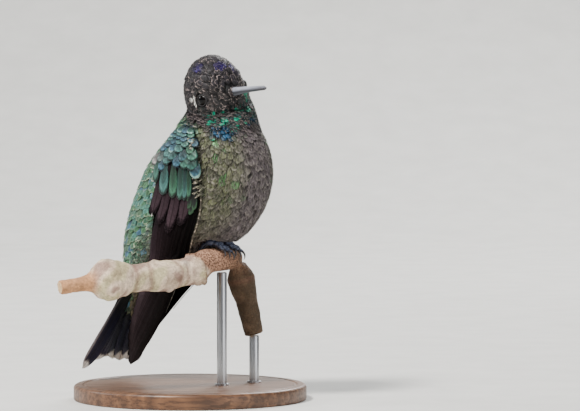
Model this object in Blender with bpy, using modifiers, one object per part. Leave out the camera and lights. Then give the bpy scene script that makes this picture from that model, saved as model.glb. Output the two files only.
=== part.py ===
"""A life-size hummingbird gripping a cut length of branch, on a plain display stand.

The world frame is in metres with +Z up, and the base's underside is centred on the origin. The tables
below are in millimetres. The bird is laid out in its own axes (forward, left, up), measured from the
grip point, which is the point of the branch's axis between its feet. bird_to_world() places it.
"""

import math

import bmesh
import bpy
import numpy as np
from mathutils.bvhtree import BVHTree

MM = 0.001
GAP = 0.3  # between pieces that touch in life
COLLECTION = "hummingbird"
WELD = 1e-6  # metres
SHARP_ANGLE = math.radians(40)  # edges sharper than this stay crisp in the shading
BALL_SEGMENTS = (14, 8)  # round and from pole to pole

# Layout
GRIP_POINT = np.array((9.5, -4.0, 42.7))  # in world axes
BODY_YAW = math.radians(-40)  # the bird's forward direction, from +X
HEAD_YAW = math.radians(-26.5)  # the head's own turn to the bird's right
HEAD_ROLL = math.radians(20)  # right side of the head down
HEAD_PITCH = math.radians(-5.1)  # bill up
HEAD_CENTRE = np.array((-3.2, 0.0, 51.8))

# Sections of the body from the tail coverts to the bill. Each has its point on the back and on the
# belly as (forward, up), then its half width. From the nape on they are measured from HEAD_CENTRE.
BODY_SECTIONS = {
    "coverts_end": ((-36.4, -9.0), (-31.0, -14.0), 4.6),
    "tail_root": ((-35.8, -0.5), (-25.0, -8.0), 7.6),
    "rump": ((-34.5, 7.0), (-15.0, -2.2), 10.6),
    "lower_belly": ((-32.4, 14.0), (-4.0, 1.6), 12.4),
    "belly": ((-29.4, 21.0), (6.4, 7.0), 13.4),
    "flank": ((-25.6, 27.6), (13.2, 15.0), 13.9),
    "breast": ((-20.6, 33.0), (15.8, 23.6), 13.8),
    "upper_breast": ((-15.9, 37.4), (14.7, 32.0), 12.5),
    "neck_base": ((-13.4, 41.2), (11.3, 38.8), 10.6),
    "neck": ((-13.2, 45.2), (8.7, 42.6), 9.3),
}
HEAD_SECTIONS = {
    "nape": ((-10.5, -2.4), (8.8, -8.6), 9.0),
    "occiput": ((-9.1, 3.1), (9.4, -7.4), 8.9),
    "hind_crown": ((-5.2, 7.2), (10.0, -6.7), 7.9),
    "crown": ((-0.2, 8.9), (10.2, -6.4), 6.9),
    "forecrown": ((4.6, 7.7), (10.6, -6.0), 5.5),
    "forehead": ((8.4, 3.9), (11.0, -5.6), 3.7),
    "bill_base": ((11.5, -1.5), (11.7, -4.9), 1.75),
}
BODY_NODES = (  # node, first section, last section
    ("rump", "coverts_end", "rump"),
    ("belly", "rump", "flank"),
    ("breast", "flank", "neck_base"),
    ("neck", "neck_base", "nape"),
    ("head", "nape", "bill_base"),
)
RING_POINTS = 30
RINGS_PER_SECTION = 2
FULLNESS = 2.2  # exponent of the superellipse that every section follows
BODY_REACH = 60.0  # further out than any of the body

# Bill, in the head's axes from HEAD_CENTRE
BILL_LENGTH = 22.8
BILL_ROOT = np.array((11.7 + GAP, 0.0, -3.2))
BILL_BASE_SIZE = (1.35, 1.35)  # half width, half depth
BILL_TIP_SIZE = (0.62, 0.7)
BILL_TIP_ROUNDING = (0.6, 0.75)  # of the last ring's width and depth
BILL_TAPER = 0.8  # exponent: the bill narrows faster near its base
BILL_DROOP = 0.5
BILL_RINGS = 10
BILL_HALF_SIDES = 8

# Eyes, in the head's axes from HEAD_CENTRE
EYE_CENTRE = np.array((4.3, 6.25, -2.8))
EYE_RADIUS = 1.95

# Wing: its front edge and its rear edge from the shoulder to the tip as (forward, outward, up)
WING_FRONT = (
    (0.2, 13.2, 36.6),
    (2.8, 14.4, 29.0),
    (3.3, 14.2, 20.0),
    (1.4, 13.2, 12.5),
    (-3.4, 10.8, 4.6),
    (-9.0, 7.6, -3.8),
    (-14.6, 5.0, -12.5),
    (-20.2, 3.4, -21.3),
    (-26.4, 2.6, -28.6),
    (-31.9, 2.3, -33.6),
)
WING_REAR = (
    (-8.4, 11.0, 37.4),
    (-13.4, 12.0, 30.0),
    (-14.0, 12.2, 19.4),
    (-16.6, 11.6, 9.0),
    (-18.9, 10.2, 0.0),
    (-22.5, 8.0, -7.5),
    (-27.8, 5.6, -14.5),
    (-32.0, 3.8, -22.0),
    (-34.0, 2.7, -28.6),
    (-35.3, 2.3, -33.6),
)
WING_BULGE = 1.4  # outward camber between the two edges
WING_BULGE_LOSS = 0.6  # share of the camber that is gone by the tip
WING_THICKNESS = (1.5, 0.6)  # at the shoulder and at the tip
WING_EDGE_SHARE = 0.4  # thickness at the two edges, of that in the middle
WING_CLEARANCE = 0.45  # from the body
WING_HUG = (0.25, 0.6)  # shares of the length between which the wing leaves the flank
WING_LENGTH = 75.0
WING_WIDTH = 16.0
WING_ROWS = 22
WING_COLUMNS = 7
# Parts of a wing: name, span of its length from shoulder 0 to tip 1, span of its width from rear 0 to front 1
WING_NODES = (
    ("coverts", (0.0, 0.27), (0.0, 1.0)),
    ("secondaries", (0.27, 0.66), (0.0, 0.52)),
    ("primaries", (0.27, 0.66), (0.52, 1.0)),
    ("tip", (0.66, 1.0), (0.0, 1.0)),
)
LEFT_WING_DRAW_IN = np.array((-6.4, -1.7, 1.0))  # the left wing's front edge lies back and in by its tip
LEFT_WING_REAR_SHARE = 0.25  # of that draw-in, at the rear edge
LEFT_WING_DRAW_START = 0.3

# Tail: five feathers a side, fanned from a point inside the rump
TAIL_PIVOT = np.array((-27.3, 0.0, 4.6))
TAIL_LEAN = math.radians(22)  # from straight down to the back
TAIL_FAN = math.radians(15.2)  # of the outermost feather, either side of the tail's middle
TAIL_SWING = math.radians(-5)  # the tail's middle lies a little to the right
TAIL_COVERED = 17.9  # from the pivot to the coverts' end, on the middle layer
TAIL_COVERED_SLANT = 0.38  # more for each millimetre towards the underside
TAIL_LENGTHS = {  # from the pivot, middle feather to outermost
    "left": (40.2, 40.6, 41.0, 40.6, 41.6),
    "right": (40.2, 40.6, 41.0, 40.6, 44.4),
}
TAIL_HALF_WIDTHS = (4.4, 4.3, 4.2, 4.0, 3.6)
TAIL_THICKNESS = 0.6
TAIL_ROOT_SHARE = 0.55  # width at the coverts, of the full width
TAIL_TIP_LENGTH = 7.0  # over which a feather closes to its tip
TAIL_STEPS = 9

# Feet: three toes forward and one back round the branch
FOOT_PLACES = {"right": -5.2, "left": -0.2}  # along the branch, to the left
TOE_RADIUS = (0.68, 0.5)
TOE_SPREAD = (1.2, 2.9, 4.6)  # of the front toes' ends, along the branch
FRONT_TOE_ARC = (math.radians(91), math.radians(30))  # round the branch, from straight forward up
TOE_STAGGER = math.radians(1.5)
HIND_TOE_ARC = (math.radians(86), math.radians(178))
HIND_TOE_DRIFT = 0.3
CLAW_ARC = math.radians(36)
CLAW_RADIUS = (0.4, 0.25)
TOE_STEPS = 7
CLAW_STEPS = 4
TOE_SIDES = 8
KNUCKLE_RADIUS = 0.78

# Perch: points of the branch's axis from the grip point, in world axes, each with a radius
PERCH_POINTS = {
    "elbow_end": ((5.0, 6.0, -2.6), 1.5),
    "elbow": ((3.1, 3.7, -0.5), 3.6),
    "left_grip": ((0.9, 1.1, -0.1), 3.85),
    "right_grip": ((-4.4, -5.2, -0.7), 3.85),
    "node": ((-8.2, -9.2, -2.8), 4.5),
    "after_node": ((-11.6, -12.0, -3.5), 4.2),
    "middle": ((-18.6, -17.0, -4.3), 4.6),
    "before_knob": ((-26.5, -21.2, -4.6), 4.2),
    "knob": ((-33.8, -24.4, -4.9), 6.4),
    "after_knob": ((-39.6, -27.2, -5.6), 2.6),
    "cut_end": ((-47.5, -30.6, -6.6), 2.2),
}
PERCH_NODES = (
    ("perch_grip", "elbow_end", "node"),
    ("perch_middle", "node", "before_knob"),
    ("perch_knob", "before_knob", "after_knob"),
    ("perch_stem", "after_knob", "cut_end"),
)
DOWN_STEM_POINTS = (
    ((4.9, 5.8, -2.4), 2.6),
    ((5.9, 6.8, -6.6), 4.2),
    ((7.6, 7.6, -14.0), 3.5),
    ((9.8, 8.6, -23.4), 3.0),
)
PERCH_SIDES = 16
PERCH_STEPS = 3  # rings from one named point to the next
PERCH_UNEVENNESS = 0.05
BRANCH_RADIUS = 3.9  # where the feet grip
TOE_SPACE = 1.5  # left clear of the belly round the branch
HOLLOW_SIDES = 24
HOLLOW_HALF_LENGTH = 16.0

# Stand
BASE_RADIUS = 35.0
BASE_HEIGHT = 4.6
BASE_EDGE = 0.8
ROD_RADIUS = 1.5
ROD_SIDES = 24
BASE_SIDES = 48


def clear_scene():
    for obj in list(bpy.data.objects):
        bpy.data.objects.remove(obj, do_unlink=True)


def new_collection(name):
    collection = bpy.data.collections.new(name)
    bpy.context.scene.collection.children.link(collection)
    return collection


def material(name, colour, roughness, metallic=0.0):
    made = bpy.data.materials.new(name)
    made.use_nodes = True
    shader = made.node_tree.nodes["Principled BSDF"]
    shader.inputs["Base Color"].default_value = (*colour, 1.0)
    shader.inputs["Roughness"].default_value = roughness
    shader.inputs["Metallic"].default_value = metallic
    return made


def rotation(axis, angle):
    """Matrix that turns row vectors about an axis of 0, 1 or 2, right-handed."""
    first, second = (axis + 1) % 3, (axis + 2) % 3
    matrix = np.eye(3)
    matrix[first, first] = matrix[second, second] = math.cos(angle)
    matrix[first, second] = math.sin(angle)
    matrix[second, first] = -math.sin(angle)
    return matrix


def bird_to_world(points):
    return np.asarray(points) @ rotation(2, BODY_YAW) + GRIP_POINT


def smooth_step(value, start, end):
    share = min(max((value - start) / (end - start), 0.0), 1.0)
    return share * share * (3 - 2 * share)


def along(values, place):
    """Value at a place from 0 to len - 1 on a Catmull-Rom curve through the values."""
    values = np.asarray(values, float)
    last = len(values) - 1
    start = min(int(place), last - 1)
    share = place - start
    padded = np.concatenate([[2 * values[0] - values[1]], values, [2 * values[-1] - values[-2]]])
    before, here, there, after = padded[start : start + 4]
    return here + 0.5 * share * (
        there - before
        + share * (2 * before - 5 * here + 4 * there - after + share * (3 * (here - there) + after - before))
    )


def unit(vector):
    return vector / np.linalg.norm(vector)


def add_shell(name, shell, look, collection):
    """An object from a bmesh, shaded smooth but for its sharp edges."""
    mesh = bpy.data.meshes.new(name)
    shell.to_mesh(mesh)
    shell.free()
    mesh.shade_smooth()
    mesh.set_sharp_from_angle(angle=SHARP_ANGLE)
    mesh.materials.append(look)
    obj = bpy.data.objects.new(name, mesh)
    collection.objects.link(obj)
    return obj


def add_object(name, points, faces, look, collection):
    """A mesh object from points in millimetres in world axes, with its faces turned outward."""
    shell = bmesh.new()
    corners = [shell.verts.new(point) for point in np.asarray(points) * MM]
    for face in faces:
        shell.faces.new([corners[index] for index in face])
    bmesh.ops.recalc_face_normals(shell, faces=shell.faces)
    return add_shell(name, shell, look, collection)


def loft_faces(rings, sides):
    """Faces of a closed loft: quads between rings that lie one after another, and a cap at each end."""
    faces = [list(range(sides)), list(range((rings - 1) * sides, rings * sides))]
    for row in range(rings - 1):
        for side in range(sides):
            after = (side + 1) % sides
            low, high = row * sides, (row + 1) * sides
            faces.append([low + side, low + after, high + after, high + side])
    return faces


def add_loft(name, rings, look, collection):
    rings = np.asarray(rings)
    return add_object(name, rings.reshape(-1, 3), loft_faces(len(rings), rings.shape[1]), look, collection)


def add_slab(name, inner, outer, look, collection):
    """A closed slab between two grids of points with the same rows and columns."""
    rows, columns = inner.shape[:2]
    edge = [(row, 0) for row in range(rows)]
    edge += [(rows - 1, column) for column in range(1, columns)]
    edge += [(row, columns - 1) for row in range(rows - 2, -1, -1)]
    edge += [(0, column) for column in range(columns - 2, 0, -1)]
    size = rows * columns
    faces = []
    for row in range(rows - 1):
        for column in range(columns - 1):
            corner = row * columns + column
            cell = [corner, corner + 1, corner + columns + 1, corner + columns]
            faces += [cell, [size + index for index in reversed(cell)]]
    numbers = [row * columns + column for row, column in edge]
    for here, there in zip(numbers, numbers[1:] + numbers[:1]):
        faces.append([here, there, size + there, size + here])
    points = np.concatenate([inner.reshape(-1, 3), outer.reshape(-1, 3)])
    return add_object(name, points, faces, look, collection)


def path_rings(points, radii, sides, unevenness):
    """Rings round a path, each square to it and a little uneven, turned as little as possible on the way."""
    tangents = np.gradient(points, axis=0)
    tangents /= np.linalg.norm(tangents, axis=1, keepdims=True)
    across = np.cross(tangents[0], (0, 0, 1))
    angles = np.arange(sides) * 2 * math.pi / sides
    rings = []
    for number, (point, tangent, radius) in enumerate(zip(points, tangents, radii)):
        across = unit(across - tangent * (across @ tangent))
        up = np.cross(tangent, across)
        reach = radius * (1 + unevenness * np.sin(3 * angles + number) * np.cos(2 * angles - 2.3 * number))
        rings.append(point + np.outer(reach * np.cos(angles), across) + np.outer(reach * np.sin(angles), up))
    return np.array(rings), tangents


def add_tube(name, points, radii, sides, look, collection):
    """A round tube with flat ends along a path in world axes, from a bevelled curve made a welded mesh."""
    curve = bpy.data.curves.new(name, "CURVE")
    curve.dimensions = "3D"
    curve.bevel_depth = MM
    curve.bevel_resolution = sides // 2 - 2
    curve.use_fill_caps = True
    spline = curve.splines.new("POLY")
    spline.points.add(len(points) - 1)
    for knot, point, radius in zip(spline.points, points, radii):
        knot.co = (*(point * MM), 1)
        knot.radius = radius
    guide = bpy.data.objects.new(name + "_guide", curve)
    collection.objects.link(guide)
    evaluated = guide.evaluated_get(bpy.context.evaluated_depsgraph_get())
    mesh = bpy.data.meshes.new_from_object(evaluated)
    shell = bmesh.new()
    shell.from_mesh(mesh)
    bpy.data.objects.remove(guide)
    bpy.data.meshes.remove(mesh)
    bmesh.ops.remove_doubles(shell, verts=shell.verts, dist=WELD)
    bmesh.ops.recalc_face_normals(shell, faces=shell.faces)
    return add_shell(name, shell, look, collection)


def add_ball(name, centre, radius, look, collection):
    """A round ball, its centre in world axes."""
    shell = bmesh.new()
    around, upward = BALL_SEGMENTS
    bmesh.ops.create_uvsphere(shell, u_segments=around, v_segments=upward, radius=radius * MM)
    obj = add_shell(name, shell, look, collection)
    obj.location = centre * MM
    return obj


def combine(target, other, operation):
    """Cuts a hidden helper from the target, or joins the helper to it."""
    other.hide_render = True
    other.display_type = "WIRE"
    boolean = target.modifiers.new(other.name, "BOOLEAN")
    boolean.operation = operation
    boolean.solver = "EXACT"
    boolean.object = other


# Body ------------------------------------------------------------------------------------------------

SECTION_NAMES = list(BODY_SECTIONS) + list(HEAD_SECTIONS)


def section_table():
    """Back point, belly point and half width of every section, all from the grip point."""
    rows = [(*back, *belly, half_width) for back, belly, half_width in BODY_SECTIONS.values()]
    shift = (HEAD_CENTRE[0], HEAD_CENTRE[2])
    for back, belly, half_width in HEAD_SECTIONS.values():
        rows.append((*np.add(back, shift), *np.add(belly, shift), half_width))
    return np.array(rows)


SECTION_TABLE = section_table()


def head_turn(place):
    """The turn of the neck and head at a place along the body: none at the neck's base, whole at the nape."""
    grown = smooth_step(place, SECTION_NAMES.index("neck_base") - 0.5, SECTION_NAMES.index("nape") + 0.3)
    return (
        rotation(0, HEAD_ROLL * grown)
        @ rotation(1, HEAD_PITCH * grown)
        @ rotation(2, HEAD_YAW * grown)
    )


def head_to_bird(points):
    """From the head's own axes to the bird's."""
    return np.asarray(points) @ head_turn(len(SECTION_NAMES) - 1) + HEAD_CENTRE


def body_ring(place, shift=0.0):
    """The section at a place along the body, in bird axes, moved along its own normal by shift."""
    back_f, back_u, belly_f, belly_u, half_width = along(SECTION_TABLE, place)
    back, belly = np.array((back_f, 0, back_u)), np.array((belly_f, 0, belly_u))
    centre, half_depth = (back + belly) / 2, (back - belly) / 2
    angles = np.arange(RING_POINTS) * 2 * math.pi / RING_POINTS
    depth_share = np.sign(np.cos(angles)) * np.abs(np.cos(angles)) ** (2 / FULLNESS)
    width_share = np.sign(np.sin(angles)) * np.abs(np.sin(angles)) ** (2 / FULLNESS)
    points = centre + np.outer(depth_share, half_depth)
    points[:, 1] += width_share * half_width
    normal = unit(np.array((half_depth[2], 0, -half_depth[0])))
    points += normal * shift
    return (points - HEAD_CENTRE) @ head_turn(place) + HEAD_CENTRE


def add_body(looks, collection):
    nodes = {}
    for name, first, last in BODY_NODES:
        start, end = SECTION_NAMES.index(first), SECTION_NAMES.index(last)
        places = np.linspace(start, end, (end - start) * RINGS_PER_SECTION + 1)
        rings = [body_ring(place) for place in places]
        if start > 0:
            rings[0] = body_ring(start, GAP / 2)
        if end < len(SECTION_NAMES) - 1:
            rings[-1] = body_ring(end, -GAP / 2)
        nodes[name] = add_loft(name, bird_to_world(rings), looks[name], collection)
    return nodes


def body_surface():
    """A tree of the whole body's surface in bird axes, to lay the wings on."""
    places = np.linspace(0, len(SECTION_NAMES) - 1, 3 * len(SECTION_NAMES))
    rings = np.array([body_ring(place) for place in places])
    faces = loft_faces(len(rings), RING_POINTS)
    return BVHTree.FromPolygons(rings.reshape(-1, 3).tolist(), faces)


# Head ------------------------------------------------------------------------------------------------


def bill_rings(upper):
    """Half rings of one mandible, from the face to the tip, in the head's axes."""
    rings = []
    side = 1 if upper else -1
    angles = np.linspace(0, math.pi, BILL_HALF_SIDES + 1)
    for share in np.linspace(0, 1, BILL_RINGS):
        half_size = BILL_BASE_SIZE + np.subtract(BILL_TIP_SIZE, BILL_BASE_SIZE) * share**BILL_TAPER
        if share == 1:
            half_size = half_size * BILL_TIP_ROUNDING
        across = half_size[0] * np.cos(angles)
        height = GAP / 2 + (half_size[1] - GAP / 2) * np.sin(angles)
        forward = np.full(len(angles), BILL_LENGTH * share)
        rings.append(np.stack([forward, across, side * height - BILL_DROOP * share**2], axis=1))
    return BILL_ROOT + np.array(rings)


def add_bill(looks, collection):
    for name, upper in (("bill_upper", True), ("bill_lower", False)):
        rings = bird_to_world(head_to_bird(bill_rings(upper)))
        add_loft(name, rings, looks["bill"], collection)


def add_eyes(head, looks, collection, cutters):
    for side, sign in (("left", 1), ("right", -1)):
        centre = bird_to_world(head_to_bird(EYE_CENTRE * (1, sign, 1)))
        add_ball(f"eye_{side}", centre, EYE_RADIUS, looks["eye"], collection)
        socket = add_ball(f"socket_{side}", centre, EYE_RADIUS + GAP, looks["eye"], cutters)
        combine(head, socket, "DIFFERENCE")


# Wings -----------------------------------------------------------------------------------------------


def wing_point(along_share, across_share, sign, surface):
    """A point of the wing's inner face: share 0 to 1 of the length and of the width.

    The wing lies on the flank near the shoulder and leaves it towards the tip.
    """
    place = along_share * (len(WING_FRONT) - 1)
    front, rear = along(WING_FRONT, place), along(WING_REAR, place)
    if sign > 0:
        draw_in = LEFT_WING_DRAW_IN * smooth_step(along_share, LEFT_WING_DRAW_START, 1.0)
        front = front + draw_in
        rear = rear + LEFT_WING_REAR_SHARE * draw_in
    point = rear + (front - rear) * across_share
    camber = 4 * across_share * (1 - across_share) * (1 - WING_BULGE_LOSS * along_share)
    point[1] += WING_BULGE * camber
    hit = surface.ray_cast((point[0], -BODY_REACH, point[2]), (0, 1, 0))[0]
    if hit is not None:
        on_body = WING_CLEARANCE - hit.y
        free = smooth_step(along_share, *WING_HUG)
        point[1] = max(point[1] * free + on_body * (1 - free), on_body)
    return point * (1, sign, 1)


def grid_normals(grid):
    normals = np.cross(np.gradient(grid, axis=0), np.gradient(grid, axis=1))
    return normals / np.linalg.norm(normals, axis=2, keepdims=True)


def drawn_in_steps(span, size, steps_in_all):
    """Even steps over a span of 0 to 1, with any end that meets a neighbour drawn in by half a gap."""
    start = span[0] + (GAP / 2 / size if span[0] > 0 else 0)
    end = span[1] - (GAP / 2 / size if span[1] < 1 else 0)
    return np.linspace(start, end, max(4, round((end - start) * steps_in_all)))


def add_wing_part(name, lengths, widths, sign, surface, look, collection):
    """One part of a wing as a curved slab, drawn back by half a gap from each neighbour."""
    rows = drawn_in_steps(lengths, WING_LENGTH, WING_ROWS)
    columns = drawn_in_steps(widths, WING_WIDTH, WING_COLUMNS)
    inner = np.array([[wing_point(row, column, sign, surface) for column in columns] for row in rows])
    normals = grid_normals(inner)
    if normals[..., 1].mean() * sign < 0:
        normals = -normals
    in_middle = WING_THICKNESS[0] + (WING_THICKNESS[1] - WING_THICKNESS[0]) * rows
    rounding = WING_EDGE_SHARE + (1 - WING_EDGE_SHARE) * np.sin(math.pi * columns) ** 0.5
    thickness = np.maximum(np.outer(in_middle, rounding), WING_THICKNESS[1])
    outer = inner + normals * thickness[:, :, None]
    add_slab(name, bird_to_world(inner), bird_to_world(outer), look, collection)


def add_wings(looks, collection):
    surface = body_surface()
    for side, sign in (("left", 1), ("right", -1)):
        for part, lengths, widths in WING_NODES:
            name = f"wing_{side}_{part}"
            look = looks["coverts"] if part == "coverts" else looks["flight_feathers"]
            add_wing_part(name, lengths, widths, sign, surface, look, collection)


# Tail ------------------------------------------------------------------------------------------------


def tail_outline(start, length, half_width):
    """(distance from the pivot, half width) from the coverts to the tip."""
    distances = np.linspace(start, length, TAIL_STEPS)
    shares = (distances - start) / (length - start)
    widths = half_width * (TAIL_ROOT_SHARE + (1 - TAIL_ROOT_SHARE) * np.sqrt(shares))
    to_tip = np.clip((length - distances) / TAIL_TIP_LENGTH, 0.02, 1)
    return distances, widths * np.sqrt(1 - (1 - to_tip) ** 2)


def add_tail(look, collection):
    straight = np.array((-math.sin(TAIL_LEAN), 0, -math.cos(TAIL_LEAN)))
    left = np.array((0, 1, 0))
    under = np.array((math.cos(TAIL_LEAN), 0, -math.sin(TAIL_LEAN)))
    middle_line = straight * math.cos(TAIL_SWING) + left * math.sin(TAIL_SWING)
    across = left * math.cos(TAIL_SWING) - straight * math.sin(TAIL_SWING)
    count = len(TAIL_HALF_WIDTHS)
    for number, half_width in enumerate(TAIL_HALF_WIDTHS):
        fan = TAIL_FAN * (number + 0.5) / (count - 0.5)
        layer = (number - (count - 1) / 2) * (TAIL_THICKNESS + GAP)
        start = (TAIL_COVERED + TAIL_COVERED_SLANT * layer) / math.cos(fan)
        for side, sign in (("left", 1), ("right", -1)):
            distances, widths = tail_outline(start, TAIL_LENGTHS[side][number], half_width)
            shaft = middle_line * math.cos(fan) + sign * across * math.sin(fan)
            outward = sign * across * math.cos(fan) - middle_line * math.sin(fan)
            middle = TAIL_PIVOT + np.outer(distances, shaft) + under * layer
            to_middle_line = (distances * math.sin(fan) - GAP / 2) / math.cos(fan)
            inner_widths = np.minimum(widths, to_middle_line)
            edges = np.stack(
                [middle - np.outer(inner_widths, outward), middle, middle + np.outer(widths, outward)], axis=1
            )
            top, bottom = edges - under * TAIL_THICKNESS / 2, edges + under * TAIL_THICKNESS / 2
            name = f"tail_feather_{side}_{number + 1}"
            add_slab(name, bird_to_world(top), bird_to_world(bottom), look, collection)


# Feet ------------------------------------------------------------------------------------------------


def branch_arc(place, drift, start, end, radii):
    """Points round the branch for a tube of these radii, starting at a place along it, in bird axes."""
    angles = np.linspace(start, end, len(radii))
    shares = np.linspace(0, 1, len(radii))
    reach = BRANCH_RADIUS + GAP + radii
    return np.stack([reach * np.cos(angles), place + drift * shares, reach * np.sin(angles)], axis=1)


def toe_paths():
    """(drift, start angle, end angle) of each toe of a foot. No two start at the same angle."""
    for number, drift in enumerate(TOE_SPREAD):
        yield drift, FRONT_TOE_ARC[0] + number * TOE_STAGGER, FRONT_TOE_ARC[1]
    yield HIND_TOE_DRIFT, *HIND_TOE_ARC


def add_foot(side, place, looks, collection, cutters):
    """A foot of four toes joined at a knuckle over the branch, each with its own claw."""
    top = (0.0, place, BRANCH_RADIUS + GAP + TOE_RADIUS[0])
    foot = add_ball(f"foot_{side}", bird_to_world(top), KNUCKLE_RADIUS, looks["foot"], collection)
    for number, (drift, start, end) in enumerate(toe_paths(), 1):
        radii = np.linspace(*TOE_RADIUS, TOE_STEPS)
        path = branch_arc(place, drift, start, end, radii)
        toe = add_tube(f"toe_{side}_{number}", bird_to_world(path), radii, TOE_SIDES, looks["foot"], cutters)
        combine(foot, toe, "UNION")
        onward = math.copysign(1, end - start)
        claw_start = end + onward * GAP / BRANCH_RADIUS
        radii = np.linspace(*CLAW_RADIUS, CLAW_STEPS)
        path = branch_arc(place + drift, 0.0, claw_start, claw_start + onward * CLAW_ARC, radii)
        add_tube(f"claw_{side}_{number}", bird_to_world(path), radii, TOE_SIDES, looks["claw"], collection)


# Perch and stand -------------------------------------------------------------------------------------


def add_perch(look, collection, cutters):
    """The branch from its elbow to its cut left end, parted at named points, and the stem going down."""
    names = list(PERCH_POINTS)
    rows = [(*point, radius) for point, radius in PERCH_POINTS.values()]
    places = np.linspace(0, len(rows) - 1, (len(rows) - 1) * PERCH_STEPS + 1)
    values = np.array([along(rows, place) for place in places])
    rings, tangents = path_rings(values[:, :3] + GRIP_POINT, values[:, 3], PERCH_SIDES, PERCH_UNEVENNESS)
    grip_end = names.index("node") * PERCH_STEPS + 1
    swollen = path_rings(
        values[:grip_end, :3] + GRIP_POINT, values[:grip_end, 3] + GAP, PERCH_SIDES, PERCH_UNEVENNESS
    )[0]
    hollow = add_loft("grip_hollow", swollen, look, cutters)
    for name, first, last in PERCH_NODES:
        start, end = names.index(first) * PERCH_STEPS, names.index(last) * PERCH_STEPS
        part = rings[start : end + 1].copy()
        if start > 0:
            part[0] += tangents[start] * GAP / 2
        if end < len(rings) - 1:
            part[-1] -= tangents[end] * GAP / 2
        add_loft(name, part, look, collection)
    rows = [(*point, radius) for point, radius in DOWN_STEM_POINTS]
    values = np.array([along(rows, place) for place in np.linspace(0, len(rows) - 1, 2 * len(rows) + 1)])
    rings = path_rings(values[:, :3] + GRIP_POINT, values[:, 3], PERCH_SIDES, PERCH_UNEVENNESS)[0]
    combine(add_loft("perch_down_stem", rings, look, collection), hollow, "DIFFERENCE")


def belly_hollow(look, cutters):
    """The space round the branch that the belly leaves for the toes."""
    reach = bird_to_world(((0, -HOLLOW_HALF_LENGTH, 0), (0, HOLLOW_HALF_LENGTH, 0)))
    radius = BRANCH_RADIUS + TOE_SPACE + 2 * GAP
    return add_tube("belly_hollow", reach, (radius, radius), HOLLOW_SIDES, look, cutters)


def add_upright(name, foot, bottom, top, radius, sides, look, collection):
    """An upright round rod or disc at (x, y), from bottom to top."""
    shell = bmesh.new()
    size = radius * MM
    depth = (top - bottom) * MM
    bmesh.ops.create_cone(shell, cap_ends=True, segments=sides, radius1=size, radius2=size, depth=depth)
    obj = add_shell(name, shell, look, collection)
    obj.location = (foot[0] * MM, foot[1] * MM, (bottom + top) / 2 * MM)
    return obj


def add_stand(looks, collection):
    middle = (0, 0)
    wood = looks["base"]
    base = add_upright("stand_base", middle, 0, BASE_HEIGHT, BASE_RADIUS, BASE_SIDES, wood, collection)
    bevel = base.modifiers.new("eased edge", "BEVEL")
    bevel.width = BASE_EDGE * MM
    bevel.segments = 1
    under_grip = GRIP_POINT - (0, 0, BRANCH_RADIUS * (1 + PERCH_UNEVENNESS) + GAP)
    under_stem = GRIP_POINT + DOWN_STEM_POINTS[-1][0] - (0, 0, 2 * GAP)
    for name, top in (("stand_rod_grip", under_grip), ("stand_rod_stem", under_stem)):
        bottom = BASE_HEIGHT + GAP
        add_upright(name, top[:2], bottom, top[2], ROD_RADIUS, ROD_SIDES, looks["rod"], collection)


def make_looks():
    return {
        "rump": material("green_feathers", (0.05, 0.16, 0.12), 0.5),
        "belly": material("belly_feathers", (0.12, 0.12, 0.08), 0.6),
        "breast": material("breast_feathers", (0.11, 0.14, 0.08), 0.55),
        "neck": material("gorget_feathers", (0.03, 0.18, 0.17), 0.4),
        "head": material("crown_feathers", (0.04, 0.035, 0.04), 0.5),
        "coverts": material("covert_feathers", (0.03, 0.22, 0.18), 0.4),
        "flight_feathers": material("flight_feathers", (0.03, 0.025, 0.03), 0.5),
        "tail": material("tail_feathers", (0.02, 0.02, 0.035), 0.45),
        "bill": material("bill_horn", (0.16, 0.16, 0.19), 0.35),
        "eye": material("eye_gloss", (0.01, 0.01, 0.012), 0.05),
        "foot": material("foot_scales", (0.03, 0.035, 0.05), 0.5),
        "claw": material("claw_horn", (0.03, 0.03, 0.035), 0.35),
        "perch": material("bark", (0.30, 0.18, 0.11), 0.8),
        "base": material("stand_wood", (0.32, 0.20, 0.11), 0.5),
        "rod": material("stand_metal", (0.55, 0.55, 0.56), 0.35, 1.0),
    }


def build():
    clear_scene()
    collection = new_collection(COLLECTION)
    cutters = new_collection("cutters")
    looks = make_looks()
    body = add_body(looks, collection)
    combine(body["belly"], belly_hollow(looks["perch"], cutters), "DIFFERENCE")
    add_bill(looks, collection)
    add_eyes(body["head"], looks, collection, cutters)
    add_wings(looks, collection)
    add_tail(looks["tail"], collection)
    for side, place in FOOT_PLACES.items():
        add_foot(side, place, looks, collection, cutters)
    add_perch(looks["perch"], collection, cutters)
    add_stand(looks, collection)


build()
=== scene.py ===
"""A hummingbird in its feathers on a cut branch, dressed over the frame that part.py made.

Lengths are in millimetres until a mesh is made. The bird's surface is read by its place along the body,
from the tail coverts at 0 to the bill at 16, and by the turn round it, from the back at 0 through the
bird's left side at 0.25 and the underside at 0.5.
"""

import math

import bmesh
import bpy
import numpy as np
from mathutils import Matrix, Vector, noise
from mathutils.bvhtree import BVHTree


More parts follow.
